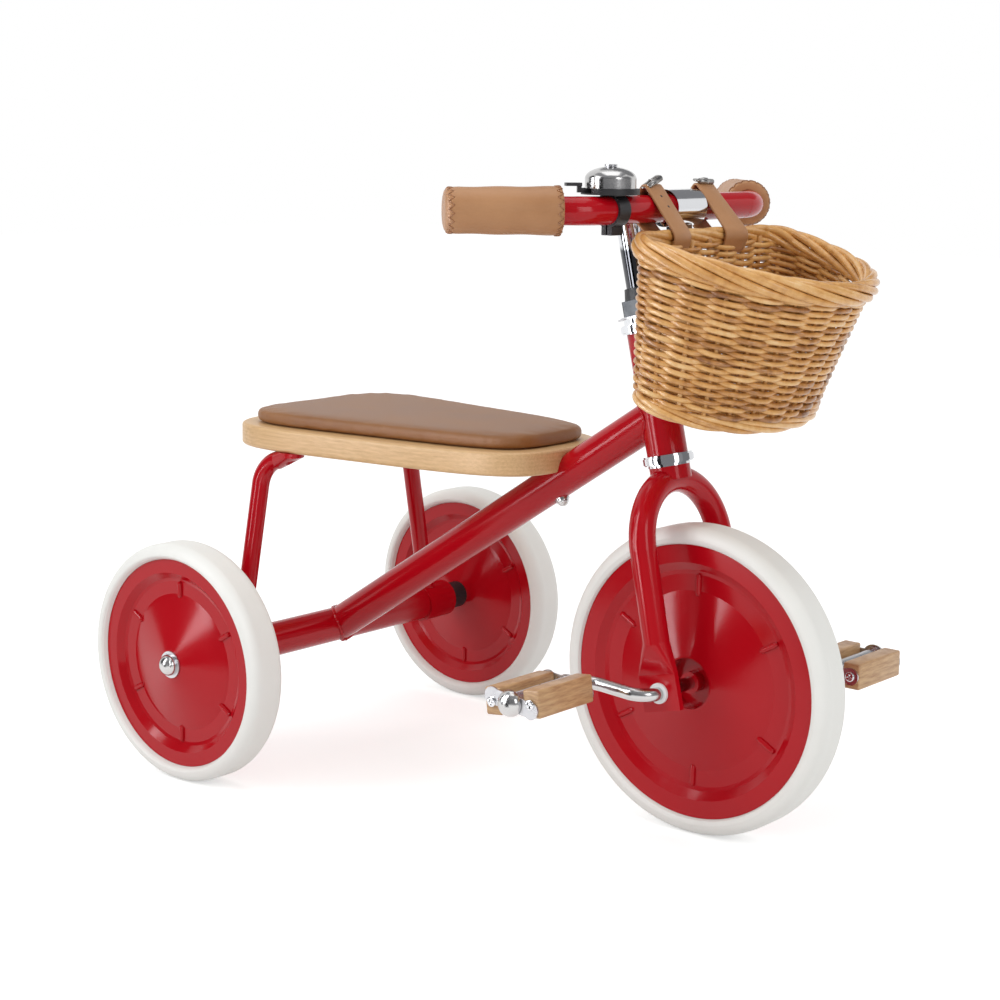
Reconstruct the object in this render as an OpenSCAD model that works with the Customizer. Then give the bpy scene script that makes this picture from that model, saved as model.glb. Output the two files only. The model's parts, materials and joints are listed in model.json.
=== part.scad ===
// Children's tricycle: steel frame, wooden seat, pedal-driven front wheel,
// quill stem with a swept handlebar, bell and a wicker basket.
// X points forward, Z up, and the rider's left is +Y. The wheels stand on Z = 0.

/* [Wheels] */
// Distance from the rear axle to the front axle
wheelbase = 420; // [390:1:460]
// Distance between the middle planes of the two rear wheels
rear_track = 384; // [370:1:420]
// Outer radius of a rear tyre
rear_tyre_r = 107; // [104:1:112]
// Radius of the steel disc of a rear wheel
rear_disc_r = 93; // [90:1:95]
// Outer radius of the front tyre
front_tyre_r = 130; // [127:1:133]
// Radius of the steel disc of the front wheel
front_disc_r = 115; // [112:1:117]
// Width of the tread of every tyre
tyre_w = 36.8; // [34:0.2:40]
// Distance between the outer faces of a rear wheel's discs at the rim
rear_rim_w = 25.4; // [22:0.2:28]
// Distance between the outer faces of the front wheel's discs at the rim
front_rim_w = 29.4; // [26:0.2:31]
// Height of a disc's cone over its rim face
cone_h = 6; // [4:0.5:8]
// Thickness of the pressed sheet of a disc
disc_t = 1.5; // [1:0.1:2]
// Number of short ribs pressed into each disc
rib_count = 6; // [4:1:8]

/* [Frame] */
// Outer diameter of the main tube and the rear axle tube
main_tube_d = 31.8; // [29:0.2:33]
// Wall of the frame tubes
tube_wall = 1.8; // [1.2:0.1:2.5]
// Height at which the main tube's centre line meets the steering axis
main_tube_head_z = 347; // [342:0.5:350]
// Height at which the main tube's centre line meets the rear axle plane
main_tube_rear_z = 106; // [104:0.5:108]
// Length of the spacer between each end of the axle tube and its wheel
spacer_l = 21.9; // [16:0.1:28]
// Diameter of the sleeve on each end of the axle tube
axle_sleeve_d = 36; // [34:0.5:38]
// Length of that sleeve
axle_sleeve_l = 36; // [25:1:45]
// Diameter of the rear axle rod
axle_d = 10; // [8:0.5:12]

/* [Steering] */
// Backward tilt of the steering axis from the vertical
head_tilt = 13.5; // [10:0.5:16]
// Distance of the steering axis ahead of the front wheel's centre
fork_rake = 3; // [0:0.5:6]
// Outer diameter of the head tube
head_tube_d = 34; // [33:0.5:38]
// Length of the head tube
head_tube_l = 102; // [90:1:106]
// Outer diameter of the steerer tube
steerer_d = 25.4; // [25.4:0.1:26]
// Diameter of the quill of the stem
quill_d = 22.2; // [21.8:0.1:22.4]
// Outer diameter of the fork tube
fork_tube_d = 22; // [20:0.5:24]
// Radius of the fork's arch, along its centre line
fork_arch_r = 54; // [52:0.5:58]
// Height of the centre of the arch above the front axle, along the steering axis
fork_arch_s = 113.5; // [112:0.5:118]
// Outward lean of each fork leg
leg_splay = 2.4; // [1.5:0.1:3]
// Outer diameter of the headset cups
cup_d = 43; // [42:0.5:46]

/* [Crank and pedals] */
// Angle of the crank, with the right pedal rising as it grows
crank_angle = 4; // [-20:1:20]
// Forward pitch of the right pedal
pedal_pitch = 7; // [-20:1:20]
// Diameter of the bent crank rod
crank_d = 11; // [10:0.5:12]
// Length of a crank arm
crank_r = 60; // [55:1:66]
// Distance from the middle plane to a pedal's inner end
pedal_in = 104; // [100:1:110]
// Width of a pedal, along the crank
pedal_w = 72; // [64:1:76]
// Length of a pedal, front to back
pedal_l = 55; // [52:1:62]
// Height of a pedal's wooden blocks
pedal_h = 22.5; // [18:0.5:24]
// Thickness of one wooden block, front to back
pedal_block = 16; // [14:0.5:18]

/* [Seat] */
// Distance of the middle of the seat ahead of the rear axle
seat_x = 112; // [105:1:116]
// Length of the cushion
pad_l = 302; // [290:1:304]
// Width of the cushion towards its rear end
pad_rear_w = 204; // [180:1:215]
// Width of the cushion towards its front end
pad_front_w = 126; // [110:1:140]
// Thickness of the cushion
pad_h = 13.5; // [10:0.5:16]
// Margin of the wooden board around the cushion
board_margin = 13.5; // [8:0.5:14]
// Thickness of the wooden board
board_h = 20.5; // [18:0.5:22]
// Height of the underside of the board
board_z = 287.5; // [284:0.5:290]
// Diameter of the two seat struts
strut_d = 16; // [14:0.5:18]
// Distance of a strut's foot from the end of the axle tube
strut_inset = 23; // [19:1:30]
// Distance of a strut's upper end from the middle plane
strut_top_y = 96; // [92:1:102]

/* [Handlebar] */
// Outer diameter of the handlebar tube
bar_d = 22.2; // [21.8:0.1:22.8]
// Height of the handlebar's centre line
bar_z = 516; // [512:1:530]
// Forward reach of the stem, from the steering axis to the bar
stem_reach = 52; // [48:1:56]
// Half width of the bar between its two bends
bar_half = 109; // [104:1:118]
// Backward sweep of the bar's ends
bar_sweep = 41.5; // [35:0.5:45]
// Bend radius of the bar
bar_bend_r = 45; // [40:1:50]
// Length of a grip
grip_l = 91; // [84:1:100]
// Diameter of a grip at its inner end
grip_d = 37.5; // [34:0.5:38]

/* [Bell] */
// Distance of the bell from the middle plane
bell_y = 88; // [84:1:90]
// Diameter of the bell's dome
bell_d = 40; // [36:1:42]
// Height of the dome
bell_h = 16.5; // [15:0.5:18]

/* [Basket] */
// Half width of the basket at its rim
basket_w = 110; // [100:1:116]
// Depth of the basket at its rim, back to front
basket_depth = 156; // [145:1:160]
// Height of the basket's back
basket_h = 130; // [122:1:132]
// Half width of the basket's foot
foot_w = 106; // [95:1:110]
// Depth of the basket's foot, back to front
foot_depth = 98; // [90:1:125]
// Forward tilt of the rim
basket_tilt = 14.5; // [12:0.5:16]
// Forward tilt of the foot
foot_tilt = 17.5; // [14:0.5:20]
// Radius of the two back corners, seen from above
back_corner = 28; // [22:1:32]
// Thickness of the woven wall
basket_wall = 7; // [5:0.5:9]
// Height of the plaited border
border_h = 20; // [16:1:22]
// Thickness of the plaited border
border_t = 15; // [12:1:16]
// Ridges of weaving between the foot and the border, one for each two rows
weave_rows = 10; // [8:1:12]
// How far a row stands out from the wall
row_rise = 2.7; // [1.5:0.1:3]
// Width of a leather strap
strap_w = 20; // [16:1:22]
// Distance of each strap from the middle plane
strap_y = 36; // [33:1:42]

/* [Hidden] */
$fn = 64;

// Clearances: a running fit on a radius, a slip fit on a radius, a soft part's gap, a weld's overlap length
run_fit = 0.05;
slip_fit = 0.1;
soft_gap = 0.3;
skin_gap = 0.2;
eps = 0.01;
joint_lap = 0.3;
joint_step = 0.12;

red = [0.72, 0.04, 0.06];
steel = [0.75, 0.76, 0.78];
chrome = [0.85, 0.86, 0.88];
black = [0.08, 0.08, 0.09];
rubber_white = [0.93, 0.93, 0.91];
wood = [0.84, 0.68, 0.45];
leather = [0.55, 0.32, 0.15];
wicker = [0.78, 0.52, 0.22];

// Rear wheels, side view sizes
side = [-1, 1];
rear_y = rear_track / 2;
rear_z = rear_tyre_r;
rear_hub_half = rear_rim_w / 2 + cone_h;
hub_d = 18;
washer_d = 24;
washer_t = 1.5;
cap_nut_d = 19;
cap_nut_h = 9;
nut_grip = 5;
nut_face_y = rear_y + rear_hub_half + washer_t;
axle_tube_half = rear_y - rear_hub_half - spacer_l - 2 * skin_gap;

// Front wheel and steering frame
front_z = front_tyre_r;
front_hub_half = front_rim_w / 2 + cone_h;
axis_x = wheelbase + fork_rake / cos(head_tilt);

// Heights along the steering axis, counted from the front axle upwards
ball_d = 4;
ball_ring_r = 17;
ball_count = 18;
race_s = fork_arch_s + fork_arch_r + fork_tube_d / 2 + soft_gap;
race_t = 2;
lower_ball_s = race_s + race_t + ball_d / 2 + slip_fit;
cup_flange_t = 5.2;
head_low_s = lower_ball_s + 0.4 + cup_flange_t;
head_high_s = head_low_s + head_tube_l;
upper_ball_s = head_high_s + cup_flange_t + 0.4;
cone_s = upper_ball_s + ball_d / 2 + slip_fit;
cone_t = 5;
washer_s = cone_s + cone_t;
keyed_t = 1.6;
lock_s = washer_s + keyed_t;
lock_h = 13;
steerer_top_s = lock_s + lock_h - 3;
seal_s = lock_s + lock_h;
seal_h = 10;
cup_skirt_l = 10;
cup_bore_r = steerer_d / 2 + 1.2;
head_bore_r = head_tube_d / 2 - 1.9;

// Stem and bar
bar_s = (bar_z - front_z) / cos(head_tilt) - fork_rake * tan(head_tilt);
bar_x = axis_x - (bar_z - front_z) * tan(head_tilt) + stem_reach;
quill_low_s = head_low_s + 46;
wedge_l = 20;
knuckle_r = 13.5;
barrel_d = 30;
barrel_l = 40;
expander_d = 8;
clamp_bolt_d = 5;
clamp_head_d = 8.5;
grip_start = 27.3;
bar_wall = 1.6;

// Crank
plate_y = 57.5;
plate_t = 5;
plate_l = 36;
plate_h = 30;
bush_d = 13;
bush_flange_d = 17;
bush_flange_t = 2.2;
arm_run = 1;
crank_bend = 17;
arm_y = plate_y + plate_t / 2 + bush_flange_t + 0.5 + crank_bend;
pedal_cap_r = 11;
pedal_cap_h = 9.5;
carrier_t = 1.6;
sleeve_d = 15;
pedal_out = pedal_in + pedal_w;
crank_end = pedal_out + soft_gap;

// Seat
board_top = board_z + board_h;
pad_z = board_top + soft_gap;
pad_top = pad_z + pad_h;
strut_foot_y = axle_tube_half - strut_inset;
strut_lean = atan2(strut_foot_y - strut_top_y, board_z - strut_d / 2 - rear_z);
strut_run = norm([strut_foot_y - strut_top_y, board_z - strut_d / 2 - rear_z]);
strut_bend = 25;
strut_turn = 77;
strut_tab_x = 47;
tab_t = 4;
tab_w = 22;
screw_d = 5;
screw_head_d = 10;
tube_reach = axis_x - (main_tube_head_z - front_z) * tan(head_tilt);
tube_rise = atan2(main_tube_head_z - main_tube_rear_z, tube_reach);
tube_run = tube_reach / cos(tube_rise);
past_end = 20;
seat_bolt_x = 261;
seat_bolt_d = 6;

// Basket
basket_x = bar_x + 24;
basket_z = bar_z - 12.5;
foot_set = 4.5;
wall_inset = 5;
row_sides = 10;
foot_share = 10 / basket_h;
row_share = (1 - border_h / basket_h - foot_share) / weave_rows;
strap_t = 2.5;

// The origin is midway between the rearmost and the foremost point
front_end = max(wheelbase + front_tyre_r, basket_x + basket_depth * cos(basket_tilt));
origin_x = (front_end - rear_tyre_r) / 2;

// ---------- frames of reference and shared shapes ----------

module placed() {
    translate([-origin_x, 0, 0]) children();
}

// Steering frame: origin level with the front axle, Z up the steering axis
module on_axis() {
    placed()
        translate([wheelbase, 0, front_z])
            rotate([0, -head_tilt, 0])
                translate([fork_rake, 0, 0])
                    children();
}

module along_y(h, d, y = 0, c = true) {
    translate([0, y, 0])
        rotate([-90, 0, 0])
            cylinder(h = h, d = d, center = c);
}

function unit(v) = v / norm(v);
function turn(p, i) =
    let (a = unit(p[i] - p[i - 1]), b = unit(p[i + 1] - p[i]))
    atan2(a[0] * b[1] - a[1] * b[0], a * b);
function cut_back(p, i, r) = (i == 0 || i == len(p) - 1) ? 0 : r * tan(abs(turn(p, i)) / 2);

// A round rod in the XY plane along the points p, with bends of radius r. A bend is a hair
// thicker than the straight lengths, which run a little way into it, so that they fuse.
module bent_rod(p, r, d) {
    for (i = [0 : len(p) - 2]) {
        u = unit(p[i + 1] - p[i]);
        a = p[i] + u * max(0, cut_back(p, i, r) - joint_lap);
        b = p[i + 1] - u * max(0, cut_back(p, i + 1, r) - joint_lap);
        translate([a[0], a[1], 0])
            rotate([0, 0, atan2(u[1], u[0])])
                rotate([0, 90, 0])
                    cylinder(h = norm(b - a), d = d);
    }
    for (i = [1 : len(p) - 2]) {
        t = turn(p, i);
        u = unit(p[i] - p[i - 1]);
        s = sign(t);
        n = [-u[1], u[0]] * s;
        c = p[i] - u * cut_back(p, i, r) + n * r;
        translate([c[0], c[1], 0])
            rotate([0, 0, atan2(-n[1], -n[0]) + (s < 0 ? t : 0)])
                rotate_extrude(angle = abs(t))
                    translate([r, 0])
                        circle(d = d + joint_step);
    }
}

// Outline of the seat: a superellipse whose width changes evenly from rear to front
function soft_power(v, n) = sign(v) * pow(abs(v), 2 / n);
function seat_outline(l, w_rear, w_front, grow, n) = [
    for (i = [0 : 71])
        let (
            c = soft_power(cos(i * 5), n),
            s = soft_power(sin(i * 5), n),
            w = (w_rear + w_front) / 4 + (w_front - w_rear) / 4 * c + grow
        )
        [seat_x + (l / 2 + grow) * c, w * s]
];

// A slab over the seat's outline, with its edges eased by r
module eased_slab(h, r, grow, n) {
    hull() {
        linear_extrude(h) polygon(seat_outline(pad_l, pad_rear_w, pad_front_w, grow - r, n));
        translate([0, 0, r])
            linear_extrude(h - 2 * r)
                polygon(seat_outline(pad_l, pad_rear_w, pad_front_w, grow, n));
    }
}

// ---------- frame ----------

module main_tube_line() {
    translate([0, 0, main_tube_rear_z])
        rotate([0, 90 - tube_rise, 0])
            children();
}

module main_tube_solid(d, past = 0) {
    main_tube_line()
        translate([0, 0, -past])
            cylinder(h = tube_run + head_tube_d / 2 + 2 * past, d = d);
}

module axle_line(h, d) {
    translate([0, 0, rear_z])
        along_y(h, d);
}

// Main tube, mitred to the axle tube and the head tube
module main_tube() {
    color(red)
    difference() {
        placed()
        difference() {
            main_tube_solid(main_tube_d);
            main_tube_solid(main_tube_d - 2 * tube_wall, 1);
            axle_line(2 * axle_tube_half, main_tube_d);
            translate([-2 * main_tube_d, -main_tube_d, rear_z - main_tube_d])
                cube([2 * main_tube_d, 2 * main_tube_d, 2 * main_tube_d]);
            main_tube_line() seat_bolt_cut();
        }
        on_axis()
            translate([0, 0, head_low_s - past_end])
                cylinder(h = head_tube_l + 2 * past_end, d = head_tube_d);
        on_axis()
            translate([head_tube_d / 2, -head_tube_d, head_low_s - past_end])
                cube([2 * head_tube_d, 2 * head_tube_d, head_tube_l + 2 * past_end]);
    }
}

module head_tube() {
    color(red)
    on_axis()
        translate([0, 0, head_low_s])
            difference() {
                cylinder(h = head_tube_l, d = head_tube_d);
                translate([0, 0, -1]) cylinder(h = head_tube_l + 2, r = head_bore_r);
            }
}

// Axle tube with a sleeve welded over each end
module rear_axle_tube() {
    color(red)
    placed()
        difference() {
            union() {
                axle_line(2 * axle_tube_half, main_tube_d);
                for (s = side)
                    translate([0, s * (axle_tube_half - axle_sleeve_l / 2), rear_z])
                        along_y(axle_sleeve_l, axle_sleeve_d);
            }
            axle_line(2 * axle_tube_half - 24, main_tube_d - 2 * tube_wall);
            axle_line(2 * axle_tube_half + 2, axle_d);
        }
}

module rear_axle() {
    color(steel)
    placed()
        axle_line(2 * (nut_face_y + nut_grip), axle_d);
}

module axle_spacers() {
    gap = spacer_l;
    color(black)
    placed()
        for (s = side)
            translate([0, s * (axle_tube_half + skin_gap + gap / 2), rear_z])
                difference() {
                    along_y(gap, 26);
                    along_y(gap + 2, axle_d);
                }
}

module wheel_washers() {
    color(steel)
    placed()
        for (s = side)
            translate([0, s * (rear_y + rear_hub_half + skin_gap + (washer_t - skin_gap) / 2), rear_z])
                difference() {
                    along_y(washer_t - skin_gap, washer_d);
                    along_y(washer_t + 2, axle_d);
                }
}

module cap_nuts() {
    color(chrome)
    placed()
        for (s = side)
            translate([0, s * nut_face_y, rear_z])
                rotate([-90 * s, 0, 0])
                    rotate_extrude()
                        difference() {
                            intersection() {
                                union() {
                                    square([cap_nut_d / 2, 2]);
                                    translate([0, 1]) scale([cap_nut_d / 2, cap_nut_h - 1]) circle(r = 1);
                                }
                                square([cap_nut_d, cap_nut_h]);
                            }
                            square([axle_d / 2, nut_grip]);
                        }
}

// A thin disc across a strut's bend at angle a, a little larger than the tube
module strut_slice(a) {
    translate([strut_bend, strut_run - strut_bend, 0])
        rotate([0, 0, -a])
            translate([-strut_bend, 0, 0])
                rotate([90, 0, 0])
                    cylinder(h = 1, d = strut_d + 0.8, center = true, $fn = 32);
}

module strut_frame(s) {
    translate([0, s * strut_foot_y, rear_z])
        rotate([s * strut_lean, 0, 0])
            rotate([90, 0, 0])
                children();
}

// A seat strut: upright tube that bends forward and flattens into a tab under the board
module seat_strut(s) {
    color(red)
    placed()
    difference() {
        union() {
            strut_frame(s) {
                rotate([-90, 0, 0]) cylinder(h = strut_run - strut_bend + joint_lap, d = strut_d);
                translate([strut_bend, strut_run - strut_bend, 0])
                    rotate([0, 0, 180 - strut_turn - 1])
                        rotate_extrude(angle = strut_turn + 1)
                            translate([strut_bend, 0])
                                circle(d = strut_d + joint_step);
            }
            hull() {
                strut_frame(s) strut_slice(strut_turn);
                strut_tab(s);
            }
        }
        axle_line(2 * axle_tube_half + 2, main_tube_d);
        translate([0, s * (axle_tube_half - axle_sleeve_l / 2), rear_z])
            along_y(axle_sleeve_l, axle_sleeve_d);
        translate([strut_tab_x - tab_w / 2, s * strut_top_y, board_z - past_end])
            cylinder(h = 2 * past_end, d = screw_d);
        translate([strut_tab_x - tab_w / 2, s * strut_top_y, board_z - tab_t - past_end])
            cylinder(h = past_end, d = screw_head_d + 1);
    }
}

module strut_tab(s) {
    translate([strut_tab_x - tab_w / 2, s * strut_top_y, board_z - tab_t])
        cylinder(h = tab_t, d = tab_w, $fn = 32);
}

module seat_strut_right() seat_strut(-1);
module seat_strut_left() seat_strut(1);

// Screws through the strut tabs into the board
module strut_screws() {
    color(steel)
    placed()
        for (s = side)
            translate([strut_tab_x - tab_w / 2, s * strut_top_y, board_z - tab_t]) {
                cylinder(h = tab_t + 14, d = screw_d);
                translate([0, 0, -3]) cylinder(h = 3, d = screw_head_d);
            }
}

// ---------- seat ----------

// The seat bolt stands square to the main tube: its own line, Z along the bolt
module bolt_line() {
    translate([seat_bolt_x, 0, main_tube_rear_z + seat_bolt_x * tan(tube_rise)])
        rotate([0, -tube_rise, 0])
            children();
}

bolt_low = main_tube_d / 2;
bolt_head_d = 13;
bolt_head_h = 5;
bolt_high = (board_top - main_tube_rear_z - seat_bolt_x * tan(tube_rise)) / cos(tube_rise) - 12;

module seat_bolt_cut() {
    translate([0, 0, seat_bolt_x / cos(tube_rise)])
        rotate([0, 90, 0])
            cylinder(h = 80, d = seat_bolt_d, center = true);
}

module seat_board() {
    color(wood)
    placed()
        difference() {
            translate([0, 0, board_z]) eased_slab(board_h, 3, board_margin, 4.2);
            main_tube_solid(main_tube_d + 1, 10);
            for (s = side)
                translate([strut_tab_x - tab_w / 2, s * strut_top_y, board_z - 1])
                    cylinder(h = 15, d = screw_d);
            bolt_line() cylinder(h = 90, d = seat_bolt_d);
            bolt_line() translate([0, 0, bolt_high]) cylinder(h = 40, d = bolt_head_d);
        }
}

module seat_pad() {
    color(leather)
    placed()
        translate([0, 0, pad_z]) eased_slab(pad_h, 3, 0, 5);
}

module seat_bolt() {
    color(steel)
    placed()
        bolt_line() {
            translate([0, 0, -bolt_low - 4]) cylinder(h = bolt_high + bolt_low + 4, d = seat_bolt_d);
            translate([0, 0, bolt_high]) cylinder(h = bolt_head_h, d = bolt_head_d);
        }
}

module seat_nut() {
    color(chrome)
    placed()
        difference() {
            bolt_line()
                translate([0, 0, -bolt_low])
                    rotate([180, 0, 0])
                        rotate_extrude()
                            intersection() {
                                union() {
                                    translate([0, -2]) square([6.5, 3.5]);
                                    scale([5.5, 6.5]) circle(r = 1);
                                }
                                translate([0, -2]) square([7, 9]);
                            }
            main_tube_solid(main_tube_d, 1);
            bolt_line() translate([0, 0, -bolt_low - 4]) cylinder(h = 40, d = seat_bolt_d);
        }
}

// ---------- headset ----------

// Profile of a pressed cup: skirt inside the head tube, flange outside it, groove for the balls
module cup_profile() {
    difference() {
        union() {
            translate([cup_bore_r, 0]) square([head_bore_r - cup_bore_r, cup_flange_t + cup_skirt_l]);
            translate([cup_bore_r, 0]) square([cup_d / 2 - cup_bore_r - 1, cup_flange_t]);
            translate([cup_d / 2 - 3, -2.5]) square([2, 3]);
            translate([cup_d / 2 - 2.5, -1.5]) square([2.5, cup_flange_t]);
        }
        translate([ball_ring_r, -0.4]) circle(r = ball_d / 2 + slip_fit);
    }
}

module headset_cups() {
    color(chrome)
    on_axis() {
        translate([0, 0, head_low_s - cup_flange_t]) rotate_extrude() cup_profile();
        translate([0, 0, head_high_s + cup_flange_t]) mirror([0, 0, 1]) rotate_extrude() cup_profile();
    }
}

module headset_balls() {
    color(steel)
    on_axis()
        for (h = [lower_ball_s, upper_ball_s], i = [0 : ball_count - 1])
            rotate([0, 0, i * 360 / ball_count])
                translate([ball_ring_r, 0, h])
                    sphere(d = ball_d, $fn = 24);
}

module race_profile(t) {
    difference() {
        union() {
            translate([steerer_d / 2, 0]) square([cup_d / 2 - 3.6 - steerer_d / 2, t]);
            translate([steerer_d / 2, 0]) square([0.9, t + 2]);
        }
        translate([ball_ring_r, t + ball_d / 2 + slip_fit]) circle(r = ball_d / 2 + slip_fit);
    }
}

module crown_race() {
    color(chrome)
    on_axis()
        translate([0, 0, race_s])
            rotate_extrude() race_profile(race_t);
}

module headset_cone() {
    color(chrome)
    on_axis()
        translate([0, 0, cone_s + cone_t])
            mirror([0, 0, 1])
                rotate_extrude() race_profile(cone_t);
}

// Washer with a pointed tab to the rear
module keyed_washer() {
    color(steel)
    on_axis()
        translate([0, 0, washer_s])
            difference() {
                union() {
                    cylinder(h = keyed_t, r = cup_d / 2 - 1.5);
                    linear_extrude(keyed_t) polygon([[-17, -8], [-26.5, -1.5], [-26.5, 1.5], [-17, 8]]);
                }
                translate([0, 0, -1]) cylinder(h = keyed_t + 2, d = steerer_d);
            }
}

module lock_nut() {
    color([0.3, 0.31, 0.32])
    on_axis()
        translate([0, 0, lock_s])
            difference() {
                intersection() {
                    cylinder(h = lock_h, d = 37, $fn = 6);
                    cylinder(h = lock_h, d = 36);
                }
                translate([0, 0, -1]) cylinder(h = lock_h - 1.5, d = steerer_d);
                cylinder(h = lock_h + 1, r = quill_d / 2 + 0.4);
            }
}

module stem_seal() {
    color(black)
    on_axis()
        translate([0, 0, seal_s])
            difference() {
                cylinder(h = seal_h, d1 = quill_d + 6, d2 = quill_d + 3.6);
                translate([0, 0, -1]) cylinder(h = seal_h + 2, r = quill_d / 2 + slip_fit);
            }
}

// ---------- fork ----------

// Arch and legs in the plane of the steering axis and Y
leg_end_s = 40;
leg_top = fork_arch_s + fork_arch_r * sin(leg_splay);
function leg_y(s) = fork_arch_r * cos(leg_splay) + (leg_top - s) * tan(leg_splay);

module fork_path(d, low) {
    rotate([90, 0, 90]) {
        translate([0, fork_arch_s])
            rotate([0, 0, leg_splay])
                rotate_extrude(angle = 180 - 2 * leg_splay)
                    translate([fork_arch_r, 0])
                        circle(d = d + joint_step);
        for (m = side)
            translate([m * fork_arch_r * cos(leg_splay), leg_top])
                rotate([0, 0, m * leg_splay])
                    rotate([90, 0, 0])
                        translate([0, 0, -joint_lap])
                            cylinder(h = (leg_top - low) / cos(leg_splay) + joint_lap, d = d);
    }
}

module fork_legs() {
    color(red)
    on_axis()
        difference() {
            union() {
                fork_path(fork_tube_d, leg_end_s);
                for (m = side)
                    hull() {
                        translate([0, m * leg_y(leg_end_s + 1), leg_end_s])
                            cylinder(h = 2, d = fork_tube_d - 0.1, $fn = 32);
                        translate([-fork_rake - plate_l / 2, m * plate_y - plate_t / 2, plate_h / 2])
                            cube([plate_l, plate_t, 1]);
                    }
            }
            fork_path(fork_tube_d - 3, leg_end_s + 6);
        }
}

// Steerer with the crown seat, coped onto the arch
module fork_steerer() {
    color(red)
    on_axis()
        difference() {
            union() {
                translate([0, 0, fork_arch_s + fork_arch_r - 4])
                    cylinder(h = steerer_top_s - fork_arch_s - fork_arch_r + 4, d = steerer_d);
                translate([0, 0, fork_arch_s + fork_arch_r - 2])
                    cylinder(h = race_s - fork_arch_s - fork_arch_r + 2, d = head_tube_d);
            }
            fork_path(fork_tube_d, leg_end_s);
            translate([0, 0, fork_arch_s])
                cube([2 * fork_arch_r, fork_arch_r, 2 * fork_arch_r], center = true);
            translate([0, 0, race_s]) cylinder(h = 200, r = quill_d / 2 + run_fit);
        }
}

module dropout(m) {
    color(red)
    on_axis()
        translate([-fork_rake, m * plate_y, 0])
            difference() {
                cube([plate_l, plate_t, plate_h], center = true);
                along_y(plate_t + 2, bush_d);
            }
}

module dropout_right() dropout(-1);
module dropout_left() dropout(1);

// Flanged bushes in the dropouts
module crank_bushes() {
    color([0.92, 0.92, 0.9])
    placed()
        for (m = side)
            translate([wheelbase, m * (plate_y + plate_t / 2), front_z])
                difference() {
                    union() {
                        along_y(plate_t, bush_d, -m * plate_t / 2);
                        along_y(bush_flange_t, bush_flange_d, m * bush_flange_t / 2);
                    }
                    along_y(4 * plate_t, crank_d + 2 * run_fit);
                }
}

// ---------- wheels ----------

// Half section of a pressed disc: rim face at height w, a lower band, then a cone to the hub
function disc_line(r, w, apex_r, apex_w) = [
    [r, w], [0.87 * r, w], [0.845 * r, w - 2.2], [0.81 * r, w - 5.2], [0.78 * r, w - 6.2],
    [0.66 * r, w - 6.2], [0.63 * r, w - 5.4], [apex_r, apex_w]
];
module disc_profile(r, w, apex_r, apex_w) {
    a = disc_line(r, w, apex_r, apex_w);
    b = [for (i = [len(a) - 1 : -1 : 0]) a[i] - [0, disc_t]];
    polygon(concat(a, b));
}

// Pressed ovals that reach from the cone's foot across the channel to its outer wall
module disc_ribs(r, w) {
    l = 0.17 * r;
    oval = [[0, 0], [1.7, 1], [2.4, 3], [2.4, l - 3], [1.7, l - 1], [0, l]];
    for (i = [0 : rib_count - 1])
        rotate([0, 0, 90 + i * 360 / rib_count])
            translate([0.62 * r, 0, w - 5.8])
                rotate([0, 90, 0])
                    rotate_extrude($fn = 24) polygon(oval);
}

module wheel_disc(r, rim_w) {
    rotate_extrude() {
        disc_profile(r, rim_w / 2, hub_d / 2 + 4, rim_w / 2 + cone_h);
        translate([hub_d / 2, rim_w / 2 + cone_h - disc_t]) square([4 + eps, disc_t]);
    }
    disc_ribs(r, rim_w / 2);
}

// Solid rubber ring whose walls swell out from the discs' edges, with a web that the discs clamp
module tyre(r, bead_r, rim_w) {
    half = tyre_w / 2;
    round_r = 10;
    low_r = bead_r + skin_gap;
    lip = rim_w / 2 + 0.4;
    rotate_extrude() {
        difference() {
            union() {
                translate([low_r, -half]) square([r - round_r - low_r, tyre_w]);
                translate([low_r, -half + round_r]) square([r - low_r, tyre_w - 2 * round_r]);
                for (m = side)
                    translate([r - round_r, m * (half - round_r)]) circle(r = round_r);
                translate([0.885 * bead_r, -rim_w / 2 + disc_t]) square([0.16 * bead_r, rim_w - 2 * disc_t]);
            }
            for (m = side)
                polygon([[low_r - 1, m * lip], [low_r, m * lip], [low_r + 1.2, m * ((lip + half) / 2 + 0.4)],
                    [low_r + 2.6, m * (half - 0.6)], [r - round_r, m * half], [r - round_r, m * (half + 1)],
                    [low_r - 1, m * (half + 1)]]);
            translate([low_r - 100, -half - 1]) square([100, half + 1 - rim_w / 2 + disc_t]);
            translate([low_r - 100, rim_w / 2 - disc_t]) square([100, half + 1]);
        }
    }
}

module rear_wheel_at(m) {
    placed()
        translate([0, m * rear_y, rear_z])
            rotate([-90, 0, 0])
                children();
}

module rear_disc(m, out) {
    color(red)
    rear_wheel_at(m)
        mirror([0, 0, m * out > 0 ? 0 : 1])
            difference() {
                wheel_disc(rear_disc_r, rear_rim_w);
                cylinder(h = 80, d = hub_d, center = true);
            }
}

module rear_disc_outer_right() rear_disc(-1, 1);
module rear_disc_inner_right() rear_disc(-1, -1);
module rear_disc_outer_left() rear_disc(1, 1);
module rear_disc_inner_left() rear_disc(1, -1);

module rear_hub(m) {
    color(steel)
    rear_wheel_at(m)
        difference() {
            cylinder(h = 2 * rear_hub_half, d = hub_d, center = true);
            cylinder(h = 4 * rear_hub_half, r = axle_d / 2 + run_fit, center = true);
        }
}

module rear_hub_right() rear_hub(-1);
module rear_hub_left() rear_hub(1);

module rear_tyre(m) {
    color(rubber_white)
    rear_wheel_at(m) tyre(rear_tyre_r, rear_disc_r, rear_rim_w);
}

module rear_tyre_right() rear_tyre(-1);
module rear_tyre_left() rear_tyre(1);

module front_wheel_at() {
    placed()
        translate([wheelbase, 0, front_z])
            rotate([-90, 0, 0])
                children();
}

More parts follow.
